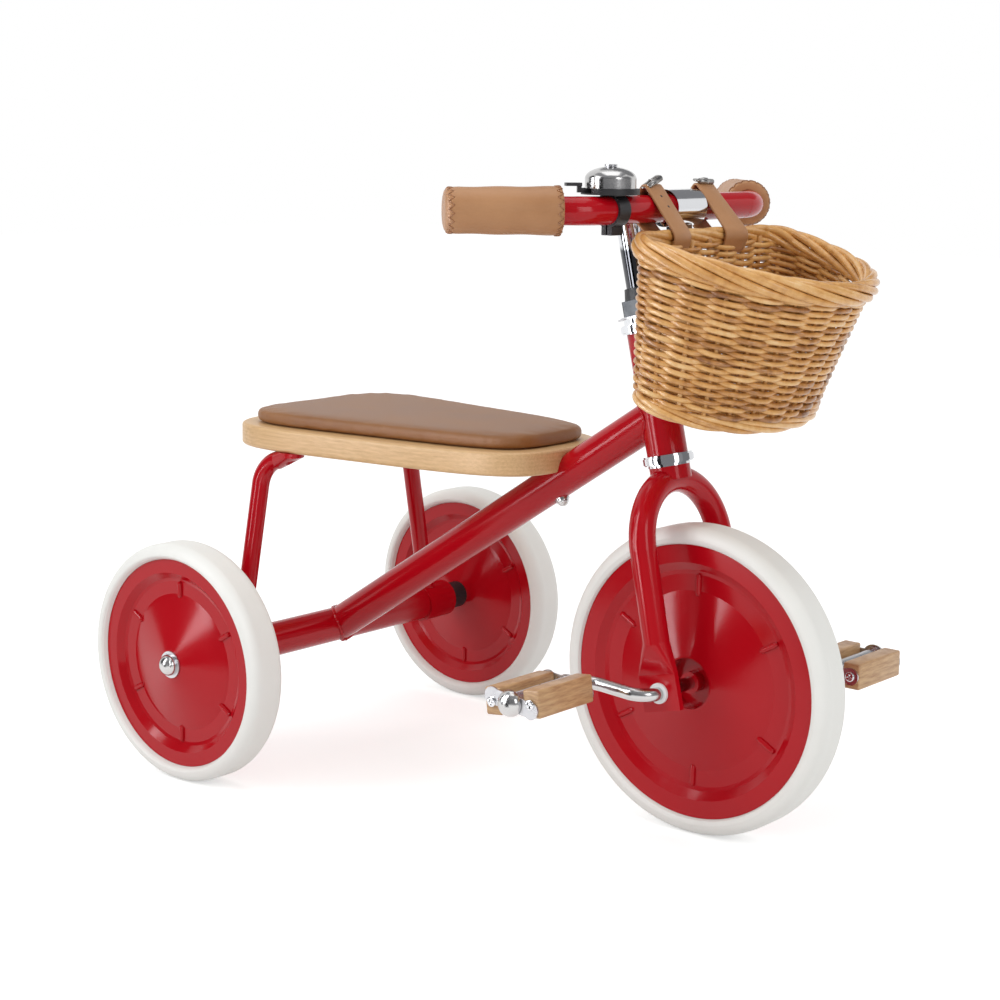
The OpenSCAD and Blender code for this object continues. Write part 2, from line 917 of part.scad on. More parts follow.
// The front cone is cut short by a round cup around the hub
front_cup_r = 23;
front_cup_floor = 7;
module front_disc(m) {
    w = front_rim_w / 2;
    color(red)
    front_wheel_at()
        mirror([0, 0, m > 0 ? 0 : 1]) {
            rotate_extrude() {
                disc_profile(front_disc_r, w, front_cup_r, w + cone_h);
                translate([front_cup_r - disc_t, front_cup_floor])
                    square([disc_t + eps, w + cone_h - front_cup_floor]);
                translate([hub_d / 2, front_cup_floor]) square([front_cup_r - hub_d / 2, disc_t]);
            }
            disc_ribs(front_disc_r, w);
        }
}

module front_disc_right() front_disc(-1);
module front_disc_left() front_disc(1);

module front_hub() {
    color(red)
    front_wheel_at()
        difference() {
            cylinder(h = 2 * front_hub_half - 6, d = hub_d, center = true);
            cylinder(h = 4 * front_hub_half, d = crank_d, center = true);
        }
}

module front_tyre() {
    color(rubber_white)
    front_wheel_at() tyre(front_tyre_r, front_disc_r, front_rim_w);
}

// ---------- crank and pedals ----------

// Crank frame: origin in the middle of the front axle
module at_crank() {
    placed()
        translate([wheelbase, 0, front_z])
            rotate([0, crank_angle, 0])
                children();
}

// Crank rod: the right arm points back, the left arm forward
module crank_rod() {
    color(chrome)
    at_crank()
        bent_rod([[-crank_r, -crank_end], [-crank_r, -arm_y - arm_run], [0, -arm_y],
            [0, arm_y], [crank_r, arm_y + arm_run], [crank_r, crank_end]], crank_bend, crank_d);
}

// A pedal's own frame: m is -1 on the right and 1 on the left
module pedal_at(m) {
    at_crank()
        translate([m * crank_r, 0, 0])
            rotate([0, (m < 0 ? pedal_pitch : 0) - crank_angle, 0])
                mirror([0, m > 0 ? 0 : 1, 0])
                    children();
}

module pedal_caps() {
    color(chrome)
    for (m = side)
        pedal_at(m)
            translate([0, crank_end, 0])
                rotate([-90, 0, 0])
                    rotate_extrude()
                        intersection() {
                            scale([pedal_cap_r, pedal_cap_h]) circle(r = 1);
                            square([pedal_cap_r, pedal_cap_h]);
                        }
}

module pedal_blocks(m) {
    color(wood)
    pedal_at(m)
        for (k = side)
            translate([k * (pedal_l - pedal_block) / 2, pedal_in + pedal_w / 2, 0])
                cube([pedal_block, pedal_w - 2 * carrier_t, pedal_h], center = true);
}

module pedal_blocks_right() pedal_blocks(-1);
module pedal_blocks_left() pedal_blocks(1);

// Sleeve on the crank with an eared plate at each end
module pedal_carrier(m) {
    ear_x = (pedal_l - pedal_block) / 2;
    color(steel)
    pedal_at(m)
        difference() {
            union() {
                along_y(pedal_w, sleeve_d, pedal_in + pedal_w / 2);
                for (y = [pedal_in + carrier_t / 2, pedal_out - carrier_t / 2]) {
                    along_y(carrier_t, 19, y);
                    translate([0, y, 0]) cube([2 * ear_x, carrier_t, 13], center = true);
                    for (k = side)
                        translate([k * ear_x, 0, 0]) along_y(carrier_t, 15, y);
                }
            }
            along_y(2 * pedal_w, crank_d + 2 * run_fit, pedal_in + pedal_w / 2);
        }
}

module pedal_carrier_right() pedal_carrier(-1);
module pedal_carrier_left() pedal_carrier(1);

module pedal_screws(m) {
    color(chrome)
    pedal_at(m)
        for (k = side, y = [pedal_in - 1.2, pedal_out + 1.2])
            translate([k * (pedal_l - pedal_block) / 2, 0, 0])
                along_y(2.4, 8.5, y);
}

module pedal_screws_right() pedal_screws(-1);
module pedal_screws_left() pedal_screws(1);

// ---------- stem and handlebar ----------

module at_bar() {
    placed()
        translate([bar_x, 0, bar_z])
            children();
}

// Quill, knuckle, forward arm and split clamp in one forging
module stem() {
    color(chrome)
    difference() {
        union() {
            on_axis()
                translate([0, 0, quill_low_s + wedge_l - 9])
                    cylinder(h = bar_s - quill_low_s - wedge_l + 9, d = quill_d);
            on_axis() translate([0, 0, bar_s]) sphere(r = knuckle_r);
            at_bar()
                translate([-stem_reach, 0, 0])
                    rotate([0, 90, 0])
                        cylinder(h = stem_reach, d1 = 23, d2 = 21);
            at_bar() along_y(barrel_l, barrel_d);
            at_bar() translate([-4, -9, -barrel_d / 2 - 5]) cube([12, 18, 12]);
        }
        on_axis() translate([0, 0, quill_low_s]) cylinder(h = bar_s, d = expander_d + 0.6);
        on_axis() translate([0, 0, bar_s + 9]) cylinder(h = 30, d = 60);
        on_axis() wedge_cut();
        at_bar() along_y(barrel_l + 2, bar_d);
        at_bar() translate([1, -barrel_l, -40]) cube([1.6, 2 * barrel_l, 34]);
        at_bar()
            translate([-14, 0, -barrel_d / 2 - 1])
                rotate([0, 90, 0]) {
                    cylinder(h = 30, d = clamp_bolt_d);
                    cylinder(h = 10, d = clamp_head_d + 0.5);
                }
    }
}

// Slanted cut between the quill's lower end and its wedge
module wedge_cut() {
    translate([0, 0, quill_low_s + wedge_l])
        rotate([0, 35, 0])
            translate([-40, -40, -60])
                cube([80, 80, 60]);
}

module expander_wedge() {
    color(steel)
    on_axis()
        difference() {
            intersection() {
                translate([0, 0, quill_low_s]) cylinder(h = 2 * wedge_l, d = quill_d);
                translate([0, 0, -skin_gap]) wedge_cut();
            }
            translate([0, 0, quill_low_s - 1]) cylinder(h = 3 * wedge_l, d = expander_d);
        }
}

module expander_bolt() {
    color(steel)
    on_axis()
        difference() {
            union() {
                translate([0, 0, quill_low_s]) cylinder(h = bar_s + 9 - quill_low_s, d = expander_d);
                translate([0, 0, bar_s + 9]) cylinder(h = 6, d = 14);
            }
            translate([0, 0, bar_s + 11]) cylinder(h = 6, d = 7, $fn = 6);
        }
}

module clamp_bolt() {
    color(steel)
    at_bar()
        translate([-4, 0, -barrel_d / 2 - 1])
            rotate([0, 90, 0]) {
                cylinder(h = 12, d = clamp_bolt_d);
                translate([0, 0, -4]) cylinder(h = 4, d = clamp_head_d);
            }
}

// Centre line of the bar, seen from above
end_l = grip_start + grip_l - 3;
function bar_tip(l, m) = [-l * sin(bar_sweep), m * (bar_half + l * cos(bar_sweep))];
function bar_line(l) = [bar_tip(l, -1), [0, -bar_half], [0, bar_half], bar_tip(l, 1)];

module handlebar() {
    color(red)
    at_bar()
        difference() {
            bent_rod(bar_line(end_l), bar_bend_r, bar_d);
            bent_rod(bar_line(end_l + 1), bar_bend_r, bar_d - 2 * bar_wall);
        }
}

module grip(m) {
    color(leather)
    at_bar()
        translate([0, m * bar_half, 0])
            rotate([0, 0, m * (90 + bar_sweep) - 90 + 90])
                rotate([0, 90, 0])
                    translate([0, 0, grip_start])
                        difference() {
                            cylinder(h = grip_l, d1 = grip_d, d2 = grip_d - 2);
                            translate([0, 0, -1]) cylinder(h = grip_l - 3 + 1, d = bar_d);
                        }
}

module grip_right() grip(-1);
module grip_left() grip(1);

// ---------- bell ----------

bell_x = -2.4;
bell_base_z = bar_d / 2 + 1.1;
bell_base_h = 4.6;
band_w = 14;
dome_z = bell_base_z + bell_base_h + skin_gap;
dome_t = 1.4;
post_r = 3;
lever_eye_r = 6;
lever_floor = 1.2;
lever_rest = 232;
lever_swing = 15;
lever_margin = 21;

module at_bell() {
    at_bar()
        translate([bell_x, -bell_y, 0])
            children();
}

// Base plate with a central post, a clamp band round the bar and the lugs of its screw
module bell_base() {
    color(black)
    difference() {
        union() {
            at_bell() translate([0, 0, bell_base_z]) cylinder(h = bell_base_h, d = bell_d + 6);
            at_bell() translate([0, 0, bell_base_z]) cylinder(h = bell_base_h + bell_h - 5, r = post_r);
            at_bar() along_y(band_w, bar_d + 4, -bell_y);
            at_bar() translate([-5, -bell_y - band_w / 2, -bar_d / 2 - 8]) cube([10, band_w, 10]);
            at_bell() translate([-bell_x - 7, -band_w / 2, 6]) cube([14, band_w, bell_base_z - 6 + 1]);
        }
        at_bar() bent_rod(bar_line(end_l), bar_bend_r, bar_d);
        at_bar() translate([-0.8, -bell_y - band_w, -bar_d]) cube([1.6, 2 * band_w, bar_d]);
        at_bell() lever_slot();
    }
}

// Recess in the base round its post for the lever's eye, with a slot for the arm to swing in
module lever_slot() {
    translate([0, 0, bell_base_z + lever_floor])
        difference() {
            union() {
                cylinder(h = bell_base_h, r = lever_eye_r + soft_gap);
                rotate([0, 0, lever_rest - lever_margin])
                    rotate_extrude(angle = lever_swing + 2 * lever_margin)
                        translate([post_r + 1, 0]) square([30, bell_base_h]);
            }
            translate([0, 0, -1]) cylinder(h = bell_base_h + 2, r = post_r);
        }
}

module bell_dome() {
    color(chrome)
    at_bell()
        translate([0, 0, dome_z])
            rotate_extrude()
                difference() {
                    dome_section(bell_d / 2, bell_h);
                    translate([0, -eps]) dome_section(bell_d / 2 - dome_t, bell_h - dome_t);
                    translate([0, -1]) square([post_r + slip_fit, bell_h + 2]);
                }
}

module dome_section(r, h) {
    intersection() {
        union() {
            square([r, h * 0.45]);
            translate([0, h * 0.45]) scale([r, h * 0.55]) circle(r = 1);
        }
        square([r + 1, h]);
    }
}

module bell_nut() {
    color(steel)
    at_bell()
        translate([0, 0, dome_z + bell_h])
            difference() {
                union() {
                    cylinder(h = 1.8, d = 10);
                    translate([0, 0, -5 - skin_gap]) cylinder(h = 5 + skin_gap, r = post_r);
                }
                translate([0, 0, -20]) cylinder(h = 20 - 5, d = 7);
            }
}

// Thumb lever: an eye round the base's post, an arm, a riser beside the dome and a thumb piece
module bell_lever() {
    arm_w = 4;
    reach = bell_d / 2 + 3.5;
    color(black)
    at_bell()
        rotate([0, 0, lever_rest])
            translate([0, 0, bell_base_z + lever_floor + skin_gap])
                difference() {
                    union() {
                        cylinder(h = 2.8, r = lever_eye_r);
                        translate([0, -arm_w / 2, 0]) cube([reach + 3, arm_w, 2.8]);
                        translate([reach, -arm_w / 2, 0]) cube([3, arm_w, 7.5]);
                        translate([reach, -3.5, 5]) cube([12.5, 7, 2.5]);
                    }
                    translate([0, 0, -1]) cylinder(h = 6, r = post_r + run_fit);
                }
}

// ---------- basket ----------

module at_rim() {
    placed()
        translate([basket_x, 0, basket_z])
            rotate([0, basket_tilt, 0])
                children();
}

// Half of an ellipse with rounded back corners; every edge moves inwards by inset
module basket_plan(w, d, inset, sides = 30) {
    r = back_corner;
    translate([r, 0])
        offset(r = r - inset, $fn = 1.6 * sides)
            polygon([for (a = [0 : 180 / sides : 180]) [(d - 2 * r) * sin(a), -(w - r) * cos(a)]]);
}

// Thin slice of the basket at a share t of its height, 0 at the foot and 1 at the rim
module basket_slice(t, inset, sides = 30) {
    placed()
        translate([basket_x - foot_set * (1 - t), 0, basket_z - basket_h * (1 - t)])
            rotate([0, foot_tilt + t * (basket_tilt - foot_tilt), 0])
                linear_extrude(eps)
                    basket_plan(foot_w + t * (basket_w - foot_w),
                                foot_depth + t * (basket_depth - foot_depth),
                                inset, sides);
}

// Body between two shares of the height, with its sides moved in by inset
module basket_body(inset, low, high) {
    hull() {
        basket_slice(low, inset);
        basket_slice(high, inset);
    }
}

// One row of weaving: a ridge right round the wall, which meets the next in a valley
module basket_row(t) {
    hull() {
        basket_slice(t - 0.54 * row_share, wall_inset, row_sides);
        basket_slice(t, wall_inset - row_rise, row_sides);
        basket_slice(t + 0.54 * row_share, wall_inset, row_sides);
    }
}

module basket() {
    color(wicker)
    difference() {
        union() {
            difference() {
                union() {
                    basket_body(wall_inset, 1 - border_h / basket_h - row_share, 1 - border_h / 2 / basket_h);
                    basket_body(wall_inset - row_rise, 0, foot_share);
                    for (i = [0.5 : weave_rows]) basket_row(foot_share + i * row_share);
                }
                basket_body(wall_inset + basket_wall, basket_wall / basket_h, 1);
            }
            at_rim()
                translate([0, 0, -border_h])
                    linear_extrude(border_h)
                        difference() {
                            basket_plan(basket_w, basket_depth, 0);
                            basket_plan(basket_w, basket_depth, border_t);
                        }
        }
        at_rim()
            for (m = side)
                translate([-10, m * strap_y - strap_w / 2 - soft_gap, -border_h - 11])
                    cube([border_t + 16, strap_w + 2 * soft_gap, 11]);
    }
}

// Side view of a strap: a belt round the bar and round the basket's border
rim_x = basket_x - bar_x + border_t / 2 * cos(basket_tilt) - border_h / 2 * sin(basket_tilt);
rim_z = basket_z - bar_z - border_h / 2 * cos(basket_tilt) - border_t / 2 * sin(basket_tilt);
rim_r = norm([border_t, border_h]) / 2 + soft_gap;
peak_z = bar_d / 2 + 6;
module belt_outline(grow) {
    hull() {
        circle(r = bar_d / 2 + soft_gap + grow);
        translate([rim_x, rim_z]) circle(r = rim_r + grow);
        translate([-1, peak_z]) circle(r = 1.5 + grow);
    }
}

module basket_straps() {
    color(leather)
    at_bar()
        for (m = side)
            translate([0, m * strap_y + strap_w / 2, 0])
                rotate([90, 0, 0])
                    linear_extrude(strap_w)
                        difference() {
                            belt_outline(strap_t);
                            belt_outline(0);
                        }
}

// Roller buckles lying on top of the straps, over the bar
module strap_buckles() {
    buckle_l = 12;
    buckle_t = 2.4;
    color(steel)
    at_bar()
        for (m = side)
            translate([-1, m * strap_y, peak_z + 1.5 + strap_t + soft_gap + buckle_t / 2]) {
                difference() {
                    cube([buckle_l, strap_w + 4, buckle_t], center = true);
                    cube([buckle_l - 4.5, strap_w, 4], center = true);
                }
                cube([buckle_l, 2.2, 2.2], center = true);
                translate([buckle_l / 2 - 1, 0, 0]) along_y(strap_w + 1, 3.4);
            }
}

main_tube();
head_tube();
rear_axle_tube();
seat_strut_right();
seat_strut_left();
rear_axle();
axle_spacers();
wheel_washers();
cap_nuts();
seat_board();
seat_pad();
seat_bolt();
seat_nut();
strut_screws();
headset_cups();
headset_balls();
fork_legs();
fork_steerer();
dropout_right();
dropout_left();
crown_race();
headset_cone();
keyed_washer();
lock_nut();
stem_seal();
crank_bushes();
rear_disc_outer_right();
rear_disc_inner_right();
rear_hub_right();
rear_tyre_right();
rear_disc_outer_left();
rear_disc_inner_left();
rear_hub_left();
rear_tyre_left();
front_disc_right();
front_disc_left();
front_hub();
front_tyre();
crank_rod();
pedal_caps();
pedal_blocks_right();
pedal_carrier_right();
pedal_screws_right();
pedal_blocks_left();
pedal_carrier_left();
pedal_screws_left();
stem();
clamp_bolt();
expander_bolt();
expander_wedge();
handlebar();
grip_right();
grip_left();
bell_base();
bell_dome();
bell_nut();
bell_lever();
basket();
basket_straps();
strap_buckles();
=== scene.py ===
import json
import math
import random

import bmesh
import bpy
from mathutils import Matrix, Vector, noise


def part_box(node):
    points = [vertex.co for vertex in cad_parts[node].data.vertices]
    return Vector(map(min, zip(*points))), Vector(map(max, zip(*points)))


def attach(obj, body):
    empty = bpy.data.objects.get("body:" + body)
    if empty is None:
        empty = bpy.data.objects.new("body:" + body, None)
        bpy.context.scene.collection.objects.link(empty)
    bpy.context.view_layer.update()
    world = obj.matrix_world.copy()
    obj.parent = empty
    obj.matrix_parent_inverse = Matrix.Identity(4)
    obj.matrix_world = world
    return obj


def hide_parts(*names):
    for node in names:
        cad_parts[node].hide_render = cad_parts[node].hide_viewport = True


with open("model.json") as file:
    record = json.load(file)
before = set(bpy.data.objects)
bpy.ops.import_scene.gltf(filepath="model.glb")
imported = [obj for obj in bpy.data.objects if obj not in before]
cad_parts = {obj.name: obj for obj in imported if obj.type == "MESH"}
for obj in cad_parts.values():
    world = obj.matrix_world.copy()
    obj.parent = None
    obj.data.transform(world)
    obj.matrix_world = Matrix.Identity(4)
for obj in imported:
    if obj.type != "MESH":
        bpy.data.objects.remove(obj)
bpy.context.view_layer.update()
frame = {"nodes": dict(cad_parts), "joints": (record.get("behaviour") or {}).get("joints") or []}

nodes = frame["nodes"]
joints = {joint["name"]: joint for joint in frame["joints"]}
mm = 0.001


# ---------- camera ----------
# The camera stands ahead of the tricycle on its right, a little above the bar, and looks back and
# slightly down across the front wheel to the seat. It leans by less than a degree.
camera = bpy.data.objects.new("camera", bpy.data.cameras.new("camera"))
camera.data.lens = 75.9
camera.data.shift_x = 0.013
camera.data.shift_y = -0.0023
camera.location = (1.1496, -1.4096, 0.5886)
camera.rotation_euler = (math.radians(79.677), math.radians(-0.733), math.radians(40.313))
bpy.context.scene.collection.objects.link(camera)
bpy.context.scene.camera = camera
bpy.context.scene.view_settings.view_transform = "Standard"


# ---------- studio ----------
# A pale floor that keeps a soft shadow, two big soft boxes with a top light over them, and grey
# screens that only glossy surfaces reflect, as a product studio has round polished parts.
def linked(obj):
    bpy.context.scene.collection.objects.link(obj)
    return obj


def panel(name, width, depth):
    mesh = bpy.data.meshes.new(name)
    corners = [(-width / 2, -depth / 2, 0), (width / 2, -depth / 2, 0),
               (width / 2, depth / 2, 0), (-width / 2, depth / 2, 0)]
    mesh.from_pydata(corners, [], [(0, 1, 2, 3)])
    obj = linked(bpy.data.objects.new(name, mesh))
    return obj


def aim(obj, place, target):
    obj.location = place
    obj.rotation_euler = (Vector(target) - Vector(place)).to_track_quat("-Z", "Y").to_euler()


def wired(tree, kind, links=(), **settings):
    """A new node with its settings made; links are (input, source socket or value)."""
    node = tree.nodes.new(kind)
    for key, value in settings.items():
        setattr(node, key, value)
    for label, source in links:
        if isinstance(source, bpy.types.NodeSocket):
            tree.links.new(source, node.inputs[label])
        else:
            node.inputs[label].default_value = source
    return node


def seen_rays(tree):
    """1 for a ray from the camera, off a glossy surface or through glass, and 0 elsewhere."""
    path = wired(tree, "ShaderNodeLightPath")
    direct = wired(tree, "ShaderNodeMath", [(0, path.outputs["Is Camera Ray"]),
                   (1, path.outputs["Is Glossy Ray"])], operation="MAXIMUM")
    seen = wired(tree, "ShaderNodeMath", [(0, direct.outputs[0]),
                 (1, path.outputs["Is Transmission Ray"])], operation="MAXIMUM")
    return seen.outputs[0]


floor = panel("floor", 14, 14)
floor_finish = bpy.data.materials.new("floor_white")
floor_finish.use_nodes = True
tree = floor_finish.node_tree
tree.nodes.clear()
matt = wired(tree, "ShaderNodeBsdfDiffuse", [("Color", (0.8, 0.8, 0.8, 1))])
share = wired(tree, "ShaderNodeMath", [(0, seen_rays(tree)), (1, 0.5)], operation="MULTIPLY")
lift = wired(tree, "ShaderNodeEmission", [("Strength", share.outputs[0])])
both = wired(tree, "ShaderNodeAddShader", [(0, matt.outputs[0]), (1, lift.outputs[0])])
wired(tree, "ShaderNodeOutputMaterial", [("Surface", both.outputs[0])])
floor.data.materials.append(floor_finish)

world = bpy.data.worlds.new("studio_air")
world.use_nodes = True
bpy.context.scene.world = world
tree = world.node_tree
tree.nodes.clear()
white = (1, 1, 1, 1)
fill_light = wired(tree, "ShaderNodeBackground", [("Color", white), ("Strength", 0.7)])
backdrop = wired(tree, "ShaderNodeBackground", [("Color", white), ("Strength", 1.0)])
choose = wired(tree, "ShaderNodeMixShader", [(0, seen_rays(tree)), (1, fill_light.outputs[0]),
               (2, backdrop.outputs[0])])
wired(tree, "ShaderNodeOutputWorld", [("Surface", choose.outputs[0])])


def soft_box(name, width, depth, watts, place, target):
    lamp = bpy.data.lights.new(name, "AREA")
    lamp.shape = "RECTANGLE"
    lamp.size = width
    lamp.size_y = depth
    lamp.energy = watts
    aim(linked(bpy.data.objects.new(name, lamp)), place, target)


# Widths, depths and places in metres, power in watts
soft_box("box_left", 1.1, 1.3, 20, (-1.1, -2.2, 1.6), (0, 0, 0.25))
soft_box("box_right", 0.8, 1.2, 11, (2.4, -0.7, 1.3), (0, 0, 0.3))
soft_box("box_top", 1.6, 1.2, 9, (0.1, 0.1, 2.3), (0, 0, 0))


def grey_screen(name, width, depth, place, grey, target=None):
    """A panel that only polished and painted surfaces reflect; upright unless it has a target."""
    screen = panel(name, width, depth)
    aim(screen, place, target or (0, 0, place[2]))
    finish = bpy.data.materials.new(name)
    finish.use_nodes = True
    tree = finish.node_tree
    tree.nodes.clear()
    paint = wired(tree, "ShaderNodeEmission", [("Color", (grey, grey, grey * 1.04, 1))])
    wired(tree, "ShaderNodeOutputMaterial", [("Surface", paint.outputs[0])])
    screen.data.materials.append(finish)
    screen.visible_camera = False
    screen.visible_diffuse = False
    screen.visible_shadow = False
    screen.visible_transmission = False


# Upright screens in an arc round the camera's side: the bearing of each and how pale it is
arc_radius = 3.4
screen_width, screen_height, screen_middle = 2.3, 3.4, 1.72
for number, (bearing, grey) in enumerate((
        (-145, 0.06), (-110, 0.28), (-75, 0.24), (-40, 0.24), (-5, 0.30), (30, 0.22))):
    turn = math.radians(bearing)
    grey_screen("screen_%d" % number, screen_width, screen_height,
                (arc_radius * math.cos(turn), arc_radius * math.sin(turn), screen_middle), grey)
grey_screen("screen_over", 5.0, 5.0, (0.4, -0.4, 3.6), 0.36, (0, 0, 0.3))
grey_screen("screen_beyond", 4.6, 2.4, (-0.6, 3.3, 3.0), 0.26, (0, 0, 0.3))
# A dark flag and a narrow bright strip beside each wheel draw the shape of its painted cone
for wheel_name, wheel_x, wheel_y, reach in (
        ("front", 0.195, -0.03, 0.45), ("rear", -0.225, -0.20, 0.40)):
    for part_name, bearing, width, low, high, grey in (
            ("flag", -101, 0.15, 0.02, 0.80, 0.01), ("strip", -116, 0.085, 0.15, 0.75, 9.0)):
        turn = math.radians(bearing)
        middle = (low + high) / 2
        spot = (wheel_x + reach * math.cos(turn), wheel_y + reach * math.sin(turn), middle)
        grey_screen(wheel_name + "_" + part_name, width, high - low, spot, grey,
                    (wheel_x, wheel_y, middle))


# ---------- frame ----------
# Steel tubes welded together and powder coated in gloss red: the main tube, the head tube, the
# rear axle tube and two bent seat struts. The weld beads stay visible under the paint.
def effect(name, inputs, outputs):
    """A shader node group with named inputs (kind, default) and outputs (kind)."""
    group = bpy.data.node_groups.new(name, "ShaderNodeTree")
    for label, (kind, value) in inputs.items():
        socket = group.interface.new_socket(label, in_out="INPUT", socket_type=kind)
        socket.default_value = value
    for label, kind in outputs.items():
        group.interface.new_socket(label, in_out="OUTPUT", socket_type=kind)
    return group, group.nodes.new("NodeGroupInput"), group.nodes.new("NodeGroupOutput")


FLOAT = "NodeSocketFloat"
COLOUR = "NodeSocketColor"
VECTOR = "NodeSocketVector"

# Slow, cloudy change over a surface, for paint, metal and plastic that has been handled
cloud, given, result = effect(
    "handling_cloud", {"Scale": (FLOAT, 30.0), "Low": (FLOAT, 0.2), "High": (FLOAT, 0.3)},
    {"Value": FLOAT, "Mask": FLOAT})
place = wired(cloud, "ShaderNodeTexCoord")
patches = wired(cloud, "ShaderNodeTexNoise", [("Vector", place.outputs["Object"]),
                ("Scale", given.outputs["Scale"]), ("Detail", 4.0), ("Roughness", 0.6)])
spread = wired(cloud, "ShaderNodeMapRange", [("Value", patches.outputs["Fac"]), ("From Min", 0.35),
               ("From Max", 0.68), ("To Min", given.outputs["Low"]), ("To Max", given.outputs["High"])])
cloud.links.new(spread.outputs[0], result.inputs["Value"])
cloud.links.new(patches.outputs["Fac"], result.inputs["Mask"])

# The faint ripple of a sprayed or cast skin
ripple, given, result = effect(
    "skin_ripple", {"Scale": (FLOAT, 400.0), "Depth": (FLOAT, 0.1)}, {"Normal": VECTOR})
place = wired(ripple, "ShaderNodeTexCoord")
waves = wired(ripple, "ShaderNodeTexNoise", [("Vector", place.outputs["Object"]),
              ("Scale", given.outputs["Scale"]), ("Detail", 2.0)])
raised = wired(ripple, "ShaderNodeBump", [("Height", waves.outputs["Fac"]),
               ("Strength", given.outputs["Depth"]), ("Distance", 0.0004)])
ripple.links.new(raised.outputs["Normal"], result.inputs["Normal"])


def new_finish(name):
    """An empty material with a Principled shader; returns the material, its tree and the shader."""
    finish = bpy.data.materials.new(name)
    finish.use_nodes = True
    tree = finish.node_tree
    tree.nodes.clear()
    shader = wired(tree, "ShaderNodeBsdfPrincipled")
    wired(tree, "ShaderNodeOutputMaterial", [("Surface", shader.outputs[0])])
    return finish, tree, shader


def group_node(tree, group, **values):
    node = tree.nodes.new("ShaderNodeGroup")
    node.node_tree = group
    for label, value in values.items():
        node.inputs[label.replace("_", " ")].default_value = value
    return node


def skin_finish(name, dark, light, rough, metallic=0.0, coat=0.0, scale=30.0, ripple_scale=400.0,
                ripple_depth=0.1, coat_roughness=0.05, specular=0.5):
    """Paint, metal, plastic or rubber: two close tones in clouds, and a faint ripple."""
    finish, tree, shader = new_finish(name)
    clouds = group_node(tree, cloud, Scale=scale, Low=rough[0], High=rough[1])
    tones = wired(tree, "ShaderNodeMix", [("Factor", clouds.outputs["Mask"]), (6, (*dark, 1)),
                  (7, (*light, 1))], data_type="RGBA")
    skin = group_node(tree, ripple, Scale=ripple_scale, Depth=ripple_depth)
    tree.links.new(tones.outputs[2], shader.inputs["Base Color"])
    tree.links.new(clouds.outputs["Value"], shader.inputs["Roughness"])
    tree.links.new(skin.outputs["Normal"], shader.inputs["Normal"])
    shader.inputs["Metallic"].default_value = metallic
    shader.inputs["Coat Weight"].default_value = coat
    shader.inputs["Coat Roughness"].default_value = coat_roughness
    shader.inputs["Specular IOR Level"].default_value = specular
    return finish


def dress(finish, *names):
    for name in names:
        nodes[name].data.materials.clear()
        nodes[name].data.materials.append(finish)


red_paint = skin_finish("red_paint", (0.40, 0.002, 0.007), (0.47, 0.003, 0.010), (0.12, 0.18),
                        scale=9.0, ripple_scale=260.0, ripple_depth=0.05, specular=0.26)
dress(red_paint, "main_tube", "head_tube", "rear_axle_tube", "seat_strut_right", "seat_strut_left")


class Stock:
    """Collects the faces of one piece, in metres, and makes the piece from them."""

    def __init__(self):
        self.points = []
        self.faces = []
        self.tones = []

    def add(self, points, faces, tone=0.5):
        start = len(self.points)
        self.points.extend(points)
        self.faces.extend([tuple(start + corner for corner in face) for face in faces])
        self.tones.extend([tone] * len(points))

    def piece(self, name, body, slot, finish):
        mesh = bpy.data.meshes.new(name)
        mesh.from_pydata([tuple(point) for point in self.points], [], self.faces)
        mesh.validate()
        tone = mesh.attributes.new("tone", "FLOAT", "POINT")
        tone.data.foreach_set("value", self.tones)
        mesh.materials.append(finish)
        mesh.shade_smooth()
        obj = linked(bpy.data.objects.new(name, mesh))
        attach(obj, body)
        return obj


def rod(path, radius, sides=10, closed=False):
    """A round rod along path. radius is one size or one for each point; its ends are closed."""
    count = len(path)
    path = [Vector(point) for point in path]
    sizes = radius if isinstance(radius, (list, tuple)) else [radius] * count
    ahead = []
    for i in range(count):
        if closed:
            step = path[(i + 1) % count] - path[i - 1]
        else:
            step = path[min(i + 1, count - 1)] - path[max(i - 1, 0)]
        ahead.append(step.normalized())
    across = ahead[0].orthogonal()
    points = []
    for i in range(count):
        across = (across - ahead[i] * across.dot(ahead[i])).normalized()
        up = ahead[i].cross(across)
        for k in range(sides):
            turn = math.tau * k / sides
            points.append(path[i] + (across * math.cos(turn) + up * math.sin(turn)) * sizes[i])
    faces = []
    for i in range(count if closed else count - 1):
        a, b = i * sides, (i + 1) % count * sides
        for k in range(sides):
            m = (k + 1) % sides
            faces.append((a + k, a + m, b + m, b + k))
    if not closed:
        faces.append(tuple(reversed(range(sides))))
        faces.append(tuple(range((count - 1) * sides, count * sides)))
    return points, faces


def weld_path(foot, along, radius, post, post_along, post_radius, nearest=True, steps=64):
    """The closed line where a tube meets the skin of a post: on its near side, or its far one."""
    along, post_along = Vector(along).normalized(), Vector(post_along).normalized()
    side = along.orthogonal().normalized()
    other = along.cross(side)
    flat = along - post_along * along.dot(post_along)
    line = []
    for i in range(steps):
        turn = math.tau * i / steps
        skin = Vector(foot) + (side * math.cos(turn) + other * math.sin(turn)) * radius
        arm = skin - Vector(post)
        arm -= post_along * arm.dot(post_along)
        a, b, c = flat.dot(flat), 2 * arm.dot(flat), arm.dot(arm) - post_radius ** 2
        root = math.sqrt(max(b * b - 4 * a * c, 0))
        line.append(skin + along * ((-b + (root if nearest else -root)) / (2 * a)))
    return line


def weld_bead(stock, line, size):
    """A closed bead along line, rippled as the torch went on step by step."""
    ripples = [size * (1 + 0.16 * math.sin(i * 2.4)) for i in range(len(line))]
    stock.add(*rod(line, ripples, 8, closed=True))


rear_axle_at = Vector(joints["rear_spin_right"]["pos_m"])
rear_axle_at.y = 0
steer_at = Vector(joints["steering"]["pos_m"])
steer_up = Vector(joints["steering"]["axis"]).normalized()


